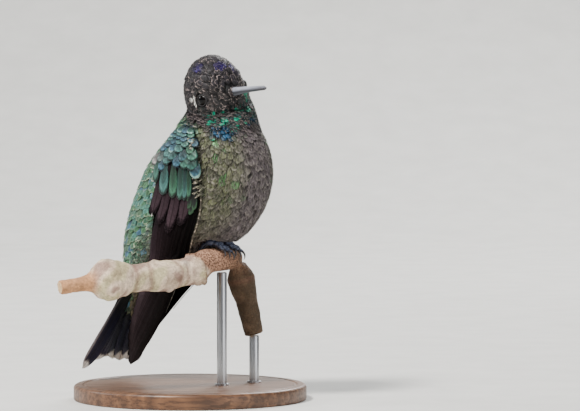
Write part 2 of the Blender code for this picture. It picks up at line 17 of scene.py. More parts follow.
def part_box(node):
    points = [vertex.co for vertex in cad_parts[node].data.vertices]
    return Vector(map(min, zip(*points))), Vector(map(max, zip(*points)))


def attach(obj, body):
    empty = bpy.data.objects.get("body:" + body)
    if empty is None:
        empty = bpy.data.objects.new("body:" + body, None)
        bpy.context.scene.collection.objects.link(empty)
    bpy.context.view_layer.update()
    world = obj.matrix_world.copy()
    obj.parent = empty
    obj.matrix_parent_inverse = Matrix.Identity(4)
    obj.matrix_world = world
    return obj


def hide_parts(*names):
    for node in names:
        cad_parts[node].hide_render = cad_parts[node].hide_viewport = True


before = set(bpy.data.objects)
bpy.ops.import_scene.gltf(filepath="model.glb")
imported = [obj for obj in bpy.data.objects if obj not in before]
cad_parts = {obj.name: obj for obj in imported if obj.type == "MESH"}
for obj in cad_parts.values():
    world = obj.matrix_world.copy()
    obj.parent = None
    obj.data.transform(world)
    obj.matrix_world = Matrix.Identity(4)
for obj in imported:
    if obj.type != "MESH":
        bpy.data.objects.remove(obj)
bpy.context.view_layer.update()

MM = 0.001

# The solids' own layout, repeated from the part's source
GRIP_POINT = np.array((9.5, -4.0, 42.7))
BODY_YAW = math.radians(-40)
HEAD_TURNS = tuple(math.radians(angle) for angle in (20, -5.1, -26.5))  # roll, pitch, yaw
HEAD_CENTRE = np.array((-3.2, 0.0, 51.8))
BODY_SECTIONS = {  # back point, belly point, half width
    "coverts_end": ((-36.4, -9.0), (-31.0, -14.0), 4.6),
    "tail_root": ((-35.8, -0.5), (-25.0, -8.0), 7.6),
    "rump": ((-34.5, 7.0), (-15.0, -2.2), 10.6),
    "lower_belly": ((-32.4, 14.0), (-4.0, 1.6), 12.4),
    "belly": ((-29.4, 21.0), (6.4, 7.0), 13.4),
    "flank": ((-25.6, 27.6), (13.2, 15.0), 13.9),
    "breast": ((-20.6, 33.0), (15.8, 23.6), 13.8),
    "upper_breast": ((-15.9, 37.4), (14.7, 32.0), 12.5),
    "neck_base": ((-13.4, 41.2), (11.3, 38.8), 10.6),
    "neck": ((-13.2, 45.2), (8.7, 42.6), 9.3),
}
HEAD_SECTIONS = {  # the same, from the head's centre
    "nape": ((-10.5, -2.4), (8.8, -8.6), 9.0),
    "occiput": ((-9.1, 3.1), (9.4, -7.4), 8.9),
    "hind_crown": ((-5.2, 7.2), (10.0, -6.7), 7.9),
    "crown": ((-0.2, 8.9), (10.2, -6.4), 6.9),
    "forecrown": ((4.6, 7.7), (10.6, -6.0), 5.5),
    "forehead": ((8.4, 3.9), (11.0, -5.6), 3.7),
    "bill_base": ((11.5, -1.5), (11.7, -4.9), 1.75),
}
SECTION_NAMES = [*BODY_SECTIONS, *HEAD_SECTIONS]
LAST_PLACE = len(SECTION_NAMES) - 1
FULLNESS = 2.2  # 2 is an ellipse, and more is squarer
BRANCH_RADIUS = 3.9
FOOT_PLACES = {"right": -5.2, "left": -0.2}

# Skin and coat
SKIN_ROWS_PER_PLACE = 12
SKIN_COLUMNS = 180
COVERT_REACH = 1.0  # places past the coverts' end over which feathers may lie on the tail
COVERT_REACH_LENGTH = 4.5
TAIL_LEAN = math.radians(22)
FEATHER_LENGTH = 2.6  # of the coat's feathers, times the space between their rows
FEATHER_WIDTH = 1.7
EYE_OPENING = 1.95  # no feather comes nearer to an eye's middle
COAT_DEPTH = 0.8  # from the skin to the outline of the solids
FACE_DEPTH = 0.45
EYE_RADIUS = 2.2
EYE_PROUD = 0.5  # how far the eyeball stands out of the face
BELLY_CLEARANCE = 1.35  # between the branch and the belly, over a foot
BELLY_REST = 0.35  # the same beside the feet
FOOT_SPAN = 4.2  # to each side of a foot, over which the belly is lifted
BRANCH_SPAN = 16  # to each side of the grip, over which the belly is kept off the branch
COVERT_NARROWING = 0.28  # how much the tail coverts draw together over their reach
SOCKET_DEPTH = 0.35  # how far the skin sinks round an eye


# Shapes ----------------------------------------------------------------------------------------------


def rotation(axis, angle):
    """Matrix that turns row vectors about an axis of 0, 1 or 2, right-handed."""
    first, second = (axis + 1) % 3, (axis + 2) % 3
    matrix = np.eye(3)
    matrix[first, first] = matrix[second, second] = math.cos(angle)
    matrix[first, second] = math.sin(angle)
    matrix[second, first] = -math.sin(angle)
    return matrix


def bird_to_world(points):
    return np.asarray(points) @ rotation(2, BODY_YAW) + GRIP_POINT


def smooth_step(value, start, end):
    share = np.clip((value - start) / (end - start), 0.0, 1.0)
    return share * share * (3 - 2 * share)


def fade(value, start, end):
    """1 before the start, falling smoothly to 0 at the end."""
    return 1 - smooth_step(value, start, end)


def bump_at(value, middle, reach):
    """1 at the middle, falling smoothly to 0 at reach on either side."""
    return fade(np.abs(value - middle), 0.0, reach)


def bell(value, width):
    """1 at a value of 0, falling away to both sides without an end."""
    return np.exp(-((value / width) ** 2))


def between(first, second, share):
    return first + (second - first) * share


def unit(vectors):
    return vectors / (np.linalg.norm(vectors, axis=-1, keepdims=True) + 1e-9)


def circle(sides):
    """(cosines, sines) of equal steps round a circle."""
    angles = np.arange(sides) * 2 * math.pi / sides
    return np.cos(angles), np.sin(angles)


def along(values, place):
    """Value at a place from 0 to len - 1 on a Catmull-Rom curve through the values."""
    values = np.asarray(values, float)
    last = len(values) - 1
    start = int(min(max(place, 0), last - 1))
    share = place - start
    padded = np.concatenate([[2 * values[0] - values[1]], values, [2 * values[-1] - values[-2]]])
    before, here, there, after = padded[start : start + 4]
    return here + 0.5 * share * (
        there - before
        + share * (2 * before - 5 * here + 4 * there - after + share * (3 * (here - there) + after - before))
    )


def section_table():
    rows = [(*back, *belly, half_width) for back, belly, half_width in BODY_SECTIONS.values()]
    shift = (HEAD_CENTRE[0], HEAD_CENTRE[2])
    for back, belly, half_width in HEAD_SECTIONS.values():
        rows.append((*np.add(back, shift), *np.add(belly, shift), half_width))
    return np.array(rows)


SECTION_TABLE = section_table()


def head_turn(place):
    """The head's turn, which grows along the neck."""
    grown = smooth_step(place, SECTION_NAMES.index("neck_base") - 0.5, SECTION_NAMES.index("nape") + 0.3)
    roll, pitch, yaw = (rotation(axis, angle * grown) for axis, angle in enumerate(HEAD_TURNS))
    return roll @ pitch @ yaw


def head_to_world(points):
    return bird_to_world(np.asarray(points) @ head_turn(LAST_PLACE) + HEAD_CENTRE)


def body_ring(place, turns):
    """Points of the solids' outline round one section, in bird axes."""
    back_f, back_u, belly_f, belly_u, half_width = along(SECTION_TABLE, place)
    back, belly = np.array((back_f, 0, back_u)), np.array((belly_f, 0, belly_u))
    centre, half_depth = (back + belly) / 2, (back - belly) / 2
    cosine, sine = np.cos(turns * 2 * math.pi), np.sin(turns * 2 * math.pi)
    points = centre + np.outer(np.sign(cosine) * np.abs(cosine) ** (2 / FULLNESS), half_depth)
    points[:, 1] += np.sign(sine) * np.abs(sine) ** (2 / FULLNESS) * half_width
    return (points - HEAD_CENTRE) @ head_turn(place) + HEAD_CENTRE


def clear_of_branch(points):
    """Pushes the belly off the branch and the toes, which run along the bird's left-right axis."""
    spread = np.hypot(points[..., 0], points[..., 2])
    over_foot = sum(bump_at(points[..., 1], place, FOOT_SPAN) for place in FOOT_PLACES.values())
    least = BRANCH_RADIUS + COAT_DEPTH + between(BELLY_REST, BELLY_CLEARANCE, np.minimum(over_foot * 1.6, 1))
    push = np.where(np.abs(points[..., 1]) < BRANCH_SPAN, np.maximum(least - spread, 0), 0)
    return points + points * (1, 0, 1) * (push / spread)[..., None]


class Surface:
    """World points over rows (a, along the lie) and columns (b, across it), read between its points."""

    def __init__(self, points, first, last, wraps, middle):
        """Its normals face away from the middle."""
        self.points = points
        self.first, self.last, self.wraps = first, last, wraps
        down = np.gradient(points, axis=0)
        if wraps:
            across = (np.roll(points, -1, axis=1) - np.roll(points, 1, axis=1)) / 2
        else:
            across = np.gradient(points, axis=1)
        self.normals = unit(np.cross(down, across))
        if ((points - middle) * self.normals).sum() < 0:
            self.normals = -self.normals
        rows, columns = points.shape[:2]
        per_row = (rows - 1) / (last - first)
        per_column = columns if wraps else columns - 1
        self.scales = np.stack(
            [np.linalg.norm(down, axis=2) * per_row, np.linalg.norm(across, axis=2) * per_column], axis=2
        )

    def read(self, grid, a, b):
        rows, columns = grid.shape[:2]
        row = (np.asarray(a) - self.first) / (self.last - self.first) * (rows - 1)
        low = np.clip(np.floor(row).astype(int), 0, rows - 2)
        row_share = (row - low)[..., None]
        column = np.asarray(b) * (columns if self.wraps else columns - 1)
        left = np.floor(column).astype(int)
        if not self.wraps:
            left = np.clip(left, 0, columns - 2)
        column_share = (column - left)[..., None]
        left, right = left % columns, (left + 1) % columns
        near = grid[low, left] * (1 - column_share) + grid[low, right] * column_share
        far = grid[low + 1, left] * (1 - column_share) + grid[low + 1, right] * column_share
        return near * (1 - row_share) + far * row_share

    def point(self, a, b):
        return self.read(self.points, a, b)

    def normal(self, a, b):
        return unit(self.read(self.normals, a, b))

    def scale(self, a, b):
        """Millimetres per unit of a and per unit of b."""
        found = np.maximum(self.read(self.scales, a, b), 0.25)
        return found[..., 0], found[..., 1]

    def nearest(self, point):
        """(a, b) of the grid point nearest to a world point."""
        far = np.linalg.norm(self.points - point, axis=2)
        row, column = np.unravel_index(far.argmin(), far.shape)
        rows, columns = far.shape
        a = self.first + row / (rows - 1) * (self.last - self.first)
        return a, column / (columns if self.wraps else columns - 1)


def body_surface():
    turns = np.arange(SKIN_COLUMNS) / SKIN_COLUMNS
    rows = round((LAST_PLACE + COVERT_REACH) * SKIN_ROWS_PER_PLACE) + 1
    tailward = np.array((-math.sin(TAIL_LEAN), 0, -math.cos(TAIL_LEAN)))
    rings = []
    for place in np.linspace(-COVERT_REACH, LAST_PLACE, rows):
        ring = body_ring(max(place, 0), turns)
        past = max(-place, 0)
        drawn_in = COVERT_NARROWING * (ring.mean(axis=0) - ring)
        rings.append(ring + (tailward * COVERT_REACH_LENGTH + drawn_in) * past)
    points = bird_to_world(clear_of_branch(np.array(rings)))
    return Surface(points, -COVERT_REACH, LAST_PLACE, True, bird_to_world((-10, 0, 25)))


def box_of(node):
    """(lowest corner, highest corner) of a solid, in millimetres."""
    low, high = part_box(node)
    return np.array(low) / MM, np.array(high) / MM


BODY = body_surface()
EYES = {side: BODY.nearest(np.mean(box_of(f"eye_{side}"), axis=0)) for side in ("left", "right")}


# Materials -------------------------------------------------------------------------------------------


def rgb(red, green, blue):
    """Linear colour of a screen colour given as 0 to 255."""
    shares = np.array((red, green, blue)) / 255
    return np.where(shares <= 0.04045, shares / 12.92, ((shares + 0.055) / 1.055) ** 2.4)


class Look:
    """A Principled material with short ways to add nodes."""

    def __init__(self, name, roughness=0.5, **settings):
        self.made = bpy.data.materials.new(name)
        self.made.use_nodes = True
        self.tree = self.made.node_tree
        self.shader = self.tree.nodes["Principled BSDF"]
        self.shader.inputs["Roughness"].default_value = roughness
        for socket, value in settings.items():
            self.shader.inputs[socket.replace("_", " ")].default_value = value

    def put(self, target, value):
        if isinstance(value, bpy.types.NodeSocket):
            self.tree.links.new(value, target)
        elif hasattr(value, "__len__") and len(value) == 3 and target.type == "RGBA":
            target.default_value = (*value, 1.0)
        else:
            target.default_value = value

    def node(self, kind, **values):
        """A new node with values or links put into its named inputs."""
        made = self.tree.nodes.new("ShaderNode" + kind)
        for socket, value in values.items():
            self.put(made.inputs[socket.replace("_", " ")], value)
        return made

    def attribute(self, name):
        made = self.node("Attribute")
        made.attribute_name = name
        return made.outputs

    def vane(self):
        """(distance from the shaft as 0 to 1, share of the length) of the vane being shaded."""
        place = self.node("UVMap")
        place.uv_map = "vane"
        split = self.node("SeparateXYZ", Vector=place.outputs[0])
        side = self.math("ABSOLUTE", self.scaled(split.outputs[0], 2.0, -1.0))
        return side, split.outputs[1]

    def position(self, stretch=None):
        place = self.node("TexCoord").outputs["Object"]
        return self.node("Mapping", Vector=place, Scale=stretch).outputs[0] if stretch else place

    def math(self, operation, *values):
        made = self.node("Math")
        made.operation = operation
        for socket, value in zip(made.inputs, values):
            self.put(socket, value)
        return made.outputs[0]

    def scaled(self, value, factor, shift):
        return self.math("MULTIPLY_ADD", value, factor, shift)

    def sum(self, first, second):
        return self.math("ADD", first, second)

    def product(self, first, *others):
        for other in others:
            first = self.math("MULTIPLY", first, other)
        return first

    def noise(self, scale, detail=3.0, roughness=0.55, stretch=None):
        vector = self.position(stretch)
        noise = self.node("TexNoise", Vector=vector, Scale=scale, Detail=detail, Roughness=roughness)
        return noise.outputs["Fac"]

    def cells(self, scale):
        return self.node("TexVoronoi", Vector=self.position(), Scale=scale).outputs["Distance"]

    def ramp(self, value, *stops):
        """Colours or greys by value: each stop is (value, colour or grey)."""
        made = self.node("ValToRGB", Fac=value)
        elements = made.color_ramp.elements
        for _ in stops[2:]:
            elements.new(0.5)
        for element, (place, colour) in zip(elements, stops):
            element.position = place
            element.color = (*(colour if hasattr(colour, "__len__") else (colour,) * 3), 1.0)
        return made.outputs[0]

    def mix(self, factor, first, second, blend="MIX"):
        made = self.tree.nodes.new("ShaderNodeMix")
        made.data_type = "RGBA"
        made.blend_type = blend
        for socket, value in ((0, factor), (6, first), (7, second)):
            self.put(made.inputs[socket], value)
        return made.outputs[2]

    def times(self, colour, shade):
        return self.mix(1.0, colour, shade, "MULTIPLY")

    def paint(self, colour):
        self.put(self.shader.inputs["Base Color"], colour)
        return self

    def gloss(self, roughness):
        self.put(self.shader.inputs["Roughness"], roughness)
        return self

    def relief(self, height, depth, strength=1.0):
        """Bump from a height of 0 to 1, depth in millimetres."""
        bump = self.node("Bump", Strength=strength, Distance=depth * MM, Height=height)
        self.put(self.shader.inputs["Normal"], bump.outputs[0])
        return self


def feather_look(
    name, barbs=13.0, shaft=0.35, relief=0.05, roughness=(0.62, 0.34), base=0.3, rim_start=0.8,
    crescent=0.0, gloss=0.35, whole_rim=0.15, ragged=0.22,
):
    """Feathers: a tint with painted shade toward the base, an edge of another colour, slanting barbs and a
    shine.

    barbs counts the waves along a vane, and shaft is how dark the shaft is. roughness is (dull, shining).
    base is how light the painted shade leaves the hidden base, crescent paints shade over the middle and a
    painted lit band toward the edge, whole_rim fills the rim's gaps and ragged breaks up its line.
    """
    look = Look(name, Specular_IOR_Level=gloss)
    tint, edge = look.attribute("tint"), look.attribute("edge")
    side, length = look.vane()
    tipward = look.math("MAXIMUM", look.scaled(length, 2.0, -1.0), 0.0)
    inward = look.product(side, 0.86)
    squares = look.sum(look.math("POWER", inward, 2.0), look.math("POWER", tipward, 2.0))
    spread = look.math("SQRT", squares)
    spread = look.scaled(look.math("SUBTRACT", look.noise(1500.0, 2.0), 0.5), ragged, spread)
    broken = look.ramp(look.noise(2300.0, 2.0), (0.38, whole_rim), (0.58, 1.0))
    rim = look.product(look.ramp(spread, (rim_start, 0.0), (rim_start + 0.16, 1.0)), edge["Alpha"], broken)
    slant = look.math("SUBTRACT", look.product(length, barbs), look.product(side, barbs * 0.35))
    wobble = look.product(look.noise(900.0, 2.0), 2.5)
    barb = look.scaled(look.math("SINE", look.sum(slant, wobble)), 0.5, 0.5)
    shade = look.scaled(barb, 0.56, 0.68)
    grain = look.scaled(look.noise(1100.0, 4.0, 0.65), 1.1, 0.45)
    # Painted shade, darkening each vane toward its hidden base.
    base_shade = look.ramp(length, (0.3, base), (0.85, 1.0))
    # With crescent, painted shade over the middle and a painted lit band toward the edge.
    outer = look.ramp(spread, (0.42, 0.0), (0.78, 1.0))
    lit_band = look.scaled(outer, 1.6 * crescent, 1.0 - crescent)
    rib = look.ramp(side, (0.03, 1.0), (0.1, 0.0))
    colour = look.times(tint["Color"], look.product(shade, grain, look.product(base_shade, lit_band)))
    colour = look.mix(rim, colour, edge["Color"])
    look.paint(look.mix(look.product(rib, shaft), colour, rgb(24, 18, 18)))
    look.put(look.shader.inputs["Metallic"], look.product(tint["Alpha"], 0.7))
    dull, bright = roughness
    look.gloss(look.scaled(tint["Alpha"], bright - dull, dull))
    look.relief(look.sum(barb, look.product(rib, 0.8)), relief, 0.8)
    return look.made


def grain_look(
    name, roughness, grain, shades, relief=None, gloss=None, stretch=None, tinted=False, **settings
):
    """A material of one noise: its shades colour it, or darken and lighten the tint of a tinted one.

    grain is what Look.noise takes, relief is (depth, strength), and gloss gives stops of roughness.
    """
    look = Look(name, roughness, **settings)
    value = look.noise(*grain, stretch=stretch)
    colour = look.ramp(value, *shades)
    look.paint(look.times(look.attribute("tint")["Color"], colour) if tinted else colour)
    if relief:
        look.relief(value, *relief)
    if gloss:
        look.gloss(look.ramp(value, *gloss))
    return look.made


def small_looks():
    """The looks that take one noise each."""
    return {
        "bill": grain_look(
            "bill_horn_detail", 0.34, (260.0, 4.0, 0.6), ((0.25, 0.72), (0.75, 1.12)), (0.03, 0.5),
            stretch=(1.0, 1.0, 3.0), tinted=True,
            Specular_IOR_Level=0.55, Coat_Weight=0.15, Coat_Roughness=0.25,
        ),
        "eye": grain_look(
            "eye_gloss_detail", 0.1, (1500.0,), ((0.3, 0.6), (0.7, 1.3)), tinted=True,
            Specular_IOR_Level=0.15,
        ),
        "lid": grain_look(
            "lid_skin", 0.55, (1300.0,), ((0.3, rgb(10, 9, 10)), (0.75, rgb(27, 24, 26))), (0.08, 0.7),
            Specular_IOR_Level=0.4,
        ),
        "foot": grain_look(
            "foot_scales_detail", 0.42, (1500.0,), ((0.3, 0.6), (0.75, 1.25)), (0.05, 0.6), tinted=True,
            Specular_IOR_Level=0.5,
        ),
        "claw": grain_look(
            "claw_horn_detail", 0.28, (900.0,), ((0.3, rgb(16, 15, 20)), (0.8, rgb(58, 54, 60))), (0.02,),
            Specular_IOR_Level=0.6,
        ),
        "cut_wood": grain_look(
            "cut_wood", 0.7, (900.0, 4.0, 0.6),
            ((0.3, rgb(176, 140, 98)), (0.7, rgb(220, 190, 148))), (0.06, 0.6),
            Specular_IOR_Level=0.3,
        ),
        "metal": grain_look(
            "stand_metal_detail", 0.3, (500.0, 4.0, 0.6),
            ((0.3, rgb(168, 168, 170)), (0.7, rgb(202, 202, 204))),
            (0.01, 0.4), ((0.3, 0.24), (0.7, 0.4)), (3.0, 3.0, 0.08), Metallic=1.0,
        ),
        "floor": grain_look(
            "floor_paper", 0.9, (60.0,), ((0.3, rgb(214, 213, 209)), (0.7, rgb(222, 221, 217))), (0.1, 0.2),
            Specular_IOR_Level=0.2,
        ),
    }


def bark_look():
    """Blotched bark. The tint's share says how deeply it is pitted."""
    look = Look("bark_detail", 0.78, Specular_IOR_Level=0.3)
    tint = look.attribute("tint")
    fine = look.noise(1400.0, 5.0, 0.65)
    blotch = look.noise(170.0, 4.0, 0.6)
    patch = look.noise(330.0, 3.0, 0.6)
    pits = look.cells(1900.0)
    colour = look.times(tint["Color"], look.ramp(fine, (0.3, 0.7), (0.72, 1.22)))
    colour = look.times(colour, look.ramp(patch, (0.34, 0.8), (0.62, 1.08)))
    colour = look.mix(look.ramp(blotch, (0.5, 0.0), (0.66, 0.5)), colour, rgb(122, 98, 78))
    pitted = look.product(look.ramp(pits, (0.28, 0.9), (0.62, 0.0)), tint["Alpha"])
    colour = look.mix(pitted, colour, rgb(66, 42, 30))
    colour = look.mix(look.ramp(look.cells(700.0), (0.1, 0.25), (0.3, 0.0)), colour, rgb(96, 74, 60))
    look.gloss(look.ramp(fine, (0.2, 0.66), (0.8, 0.9)))
    height = look.sum(look.product(pits, tint["Alpha"], 1.6), look.sum(fine, blotch))
    return look.paint(colour).relief(height, 0.2, 0.9).made


def stand_wood_look():
    """Walnut with long grain, a soft satin finish and small pores."""
    look = Look("stand_wood_detail", 0.42, Specular_IOR_Level=0.45, Coat_Weight=0.12, Coat_Roughness=0.3)
    wave = look.node(
        "TexWave", Vector=look.position(), Scale=55.0, Distortion=7.0, Detail=3.0, Detail_Scale=0.6
    )
    wave.bands_direction = "Y"
    bands = (0.0, rgb(92, 62, 42)), (0.55, rgb(124, 86, 58)), (1.0, rgb(104, 70, 47))
    pores = look.noise(420.0, 5.0, 0.65, stretch=(0.16, 2.4, 2.4))
    colour = look.ramp(wave.outputs["Fac"], *bands)
    colour = look.mix(look.ramp(pores, (0.42, 0.75), (0.55, 0.0)), colour, rgb(62, 40, 27))
    look.gloss(look.ramp(pores, (0.3, 0.55), (0.7, 0.38)))
    return look.paint(colour).relief(pores, 0.06, 0.5).made


# Meshes ----------------------------------------------------------------------------------------------


def grid_faces(rows, columns, wraps=False):
    """Quads of a grid of points, as an array."""
    across = columns if wraps else columns - 1
    row, column = np.meshgrid(np.arange(rows - 1), np.arange(across), indexing="ij")
    after = (column + 1) % columns
    here, onward = row * columns, (row + 1) * columns
    quads = [here + column, here + after, onward + after, onward + column]
    return np.stack(quads, axis=-1).reshape(-1, 4)


def capped_tube(rows, sides, start=0):
    """Faces of a closed tube of rings, the first point numbered start."""
    faces = (grid_faces(rows, sides, wraps=True) + start).tolist()
    last = start + (rows - 1) * sides
    return faces + [list(range(start, start + sides)), list(range(last, last + sides))]


def poled_tube(rows, sides):
    """Faces of a closed tube of rings that ends in two poles, numbered after the rings."""
    faces = grid_faces(rows, sides, wraps=True).tolist()
    size = rows * sides
    for side in range(sides):
        after = (side + 1) % sides
        faces.append([size, after, side])
        faces.append([size + 1, size - sides + side, size - sides + after])
    return faces


def rings_round(spine, first, second, radius, sides):
    """Rings of points round a spine: a circle's cosines run along first and its sines along second.

    These are one vector or one for each ring, and radius has one value for each ring or for each point.
    """
    cosine, sine = (wave[:, None] for wave in circle(sides))
    first, second = (np.reshape(axis, (-1, 1, 3)) for axis in (first, second))
    radius = np.reshape(radius, (len(spine), -1, 1))
    return spine[:, None] + radius * (cosine * first + sine * second)


def with_share(colours, share):
    """Colours with a share from 0 to 1 beside each."""
    colours = np.atleast_2d(colours)
    rows = max(len(colours), np.size(share))
    return np.column_stack([np.broadcast_to(colours, (rows, 3)), np.broadcast_to(share, rows)])


def add_mesh(name, points, faces, look):
    """A piece on the root body, from points in millimetres."""
    mesh = bpy.data.meshes.new(name)
    points = np.asarray(points, float).reshape(-1, 3) * MM
    loops = np.concatenate(faces).astype(np.int32)
    starts = np.cumsum([0, *(len(face) for face in faces)])[:-1]
    mesh.vertices.add(len(points))
    mesh.vertices.foreach_set("co", points.astype(np.float32).reshape(-1))
    mesh.loops.add(len(loops))
    mesh.loops.foreach_set("vertex_index", loops)
    mesh.polygons.add(len(starts))
    mesh.polygons.foreach_set("loop_start", starts.astype(np.int32))
    mesh.update(calc_edges=True)
    mesh.validate()
    mesh.materials.append(look)
    mesh.shade_smooth()
    piece = add_object(name, mesh)
    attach(piece, "root")
    return piece


def add_object(name, data):
    made = bpy.data.objects.new(name, data)
    bpy.context.scene.collection.objects.link(made)
    return made


def set_colours(piece, **layers):
    """Linear colours with their shares, one row a point or one for the whole piece."""
    for name, colours in layers.items():
        layer = piece.data.color_attributes.new(name, "FLOAT_COLOR", "POINT")
        colours = np.broadcast_to(np.asarray(colours, np.float32), (len(piece.data.vertices), 4))
        layer.data.foreach_set("color", colours.reshape(-1))


def set_maps(piece, **layers):
    """UV maps, from a place per point or one for the whole piece."""
    mesh = piece.data
    corners = np.empty(len(mesh.loops), np.int32)
    mesh.loops.foreach_get("vertex_index", corners)
    for name, places in layers.items():
        layer = mesh.uv_layers.new(name=name)
        places = np.broadcast_to(np.asarray(places, np.float32), (len(mesh.vertices), 2))
        layer.data.foreach_set("uv", places[corners].reshape(-1))


class Template:
    """The grid of one vane: columns run across and rows along, and both faces share the outer border."""

    def __init__(self, rows, columns, tip_start=0.55, root_share=0.45, bunching=1.6):
        """The outline starts root_share wide and turns in at tip_start; bunching crowds rows to the tip."""
        self.rows = 1 - (1 - np.linspace(0, 1, rows)) ** bunching
        self.columns = np.linspace(-1, 1, columns)
        to_tip = np.clip((self.rows - tip_start) / (1 - tip_start), 0, 1)
        opening = root_share + (1 - root_share) * smooth_step(self.rows, -0.1, tip_start)
        self.outline = opening * np.sqrt(np.maximum(1 - to_tip**2, 0.02))
        self.x = np.tile(self.columns, rows)
        self.y = np.repeat(self.rows, columns)
        inside = np.zeros((rows, columns), bool)
        inside[1:-1, 1:-1] = True
        under = np.arange(rows * columns).reshape(rows, columns)
        under[inside] = rows * columns + np.arange(inside.sum())
        self.inside = inside.reshape(-1)
        top = grid_faces(rows, columns)
        self.faces = np.concatenate([top, under.reshape(-1)[top][:, ::-1]])
        self.size = rows * columns + int(inside.sum())

    def doubled(self, upper, lower=None, axis=0):
        """Values at the upper face's points, then at the lower face's own points, which are those inside."""
        lower = upper if lower is None else lower
        return np.concatenate([upper, np.compress(self.inside, lower, axis=axis)], axis=axis)

    def places(self):
        """(across, along) of each point, from 0 to 1."""
        return np.stack([self.doubled(self.x) * 0.5 + 0.5, self.doubled(self.y)], axis=1)

    def piece(self, name, points, look, slot, tint, edge, bake):
        """One mesh from the points of many vanes, with colours a vane or a point and UV maps a point."""
        count = len(points)
        faces = self.faces[None] + (np.arange(count) * self.size)[:, None, None]
        made = add_mesh(name, points, faces.reshape(-1, 4), look)
        tint, edge = (np.broadcast_to(rows, (count, self.size, 4)).reshape(-1, 4) for rows in (tint, edge))
        set_colours(made, tint=tint, edge=edge)
        set_maps(made, OFBake=np.reshape(bake, (-1, 2)), vane=np.tile(self.places(), (count, 1)))
        return made


SMALL = Template(6, 5)
FINE = Template(9, 7, 0.56, 0.6)
HAIR = Template(4, 3, 0.2, 0.6)
PATCH = 0.003  # of the unwrapped surface, that one vane's map takes
PLAIN_VANE = (0.4, 0.4)  # a place on a vane off both its shaft and its edge


def shingle(surface, first, last, shown, width, keep, seed, jitter=0.16):
    """Roots (a, b) in staggered rows `shown` apart, with feathers `width` apart where keep(a, b) is true."""
    rng = np.random.default_rng(seed)
    rows = np.linspace(first, last, 300)
    columns = np.linspace(0, 1, 361)
    a, b = np.meshgrid(rows, columns, indexing="ij")
    down, across = surface.scale(a, b)
    reached = np.cumsum(down * (rows[1] - rows[0]) / shown(a, b), axis=0)
    found = []
    for number in range(int(reached[-1].max()) + 1):
        level = number + 0.5
        place = np.array([np.interp(level, reached[:, column], rows) for column in range(len(columns))])
        row_across = surface.scale(place, columns)[1]
        gaps = row_across / width(place, columns) * (columns[1] - columns[0])
        gaps[(reached[-1] < level) | (reached[0] > level)] = 0
        total = np.cumsum(gaps)
        marks = np.arange((number % 2) * 0.5 + 0.01, total[-1], 1.0)
        spots = np.interp(marks, total, columns)
        found.append(np.stack([np.interp(spots, columns, place), spots], axis=1))
    roots = np.concatenate(found)
    down, across = surface.scale(*roots.T)
    roots[:, 0] += rng.normal(0, jitter, len(roots)) * shown(*roots.T) / down
    roots[:, 1] += rng.normal(0, jitter, len(roots)) * width(*roots.T) / across
    return roots[keep(*roots.T)]


class Vanes:
    """Feathers rooted at (a, b) on a surface, laid along it row by row of their grid."""

    def __init__(
        self, surface, roots, template, length, width, low, high, seed,
        onward=-1, turn=0.0, ragged=0.05, thick=0.07, camber=0.1,
    ):
        """Each rises from low to high. onward is the way along a, and turn slants a feather off it."""
        rng = np.random.default_rng(seed)
        count = len(roots)
        self.surface, self.template, self.roots = surface, template, roots

        def each(value):
            return np.broadcast_to(np.asarray(value, float), (count,))[:, None]

        length, width, low, high, turn = map(each, (length, width, low, high, turn))
        length = length * rng.normal(1, 0.07, count).clip(0.8, 1.2)[:, None]
        width = width * rng.normal(1, 0.06, count).clip(0.85, 1.15)[:, None]
        cosine, sine = np.cos(turn), np.sin(turn)
        a, b = (np.repeat(root[:, None], len(template.columns), axis=1) for root in roots.T)
        before_across, last_y = 0.0, 0.0
        places = []
        for row, y in enumerate(template.rows):
            wide = template.columns * template.outline[row] * width / 2
            rough = rng.normal(0, ragged, a.shape) * length
            down = (y - last_y) * length + (rough if row == len(template.rows) - 1 else 0)
            sideways = wide - before_across
            scale_a, scale_b = surface.scale(a, b)
            a = a + onward * (down * cosine - sideways * sine) / scale_a
            b = b + (down * sine + sideways * cosine) / scale_b
            before_across, last_y = wide, y
            places.append((a, b))
        grid_a, grid_b = (np.stack(grid, axis=1).reshape(count, -1) for grid in zip(*places))
        x, y = template.x, template.y
        rise = low + (high - low) * y**0.8
        rise = rise + camber * width * ((1 - x**2) * np.minimum(y * 3, 1) - 0.5)
        normals = surface.normal(grid_a, grid_b)
        points = surface.point(grid_a, grid_b)
        body = thick * (1 - x**2) * np.minimum((1 - y) * 4, 1)
        top, under = (points + normals * (rise + height)[..., None] for height in (body, -body))
        self.points = template.doubled(top, under, axis=1)
        shown_row = max(len(template.rows) - 3, 1)
        self.shown_a, self.shown_b = (grid[:, len(template.columns) // 2] for grid in places[shown_row])
        self.shown_points = surface.point(self.shown_a, self.shown_b)

    def markings(self, seed):
        return body_markings(self.shown_a, self.shown_b, self.shown_points, seed)

    def build(self, name, look, slot, tint, edge):
        """One piece from all the vanes: tint with its shine, and edge with its strength, one row a feather.

        In OFBake each vane is a small patch at its root's place on the unwrapped surface.
        """
        share = (self.roots[:, 0] - self.surface.first) / (self.surface.last - self.surface.first)
        root = 0.002 + 0.996 * np.clip(np.stack([np.mod(self.roots[:, 1], 1.0), share], axis=1), 0, 1)
        bake = root[:, None] + (self.template.places() - 0.5) * PATCH
        self.template.piece(name, self.points, look, slot, tint[:, None], edge[:, None], bake)


# Markings --------------------------------------------------------------------------------------------

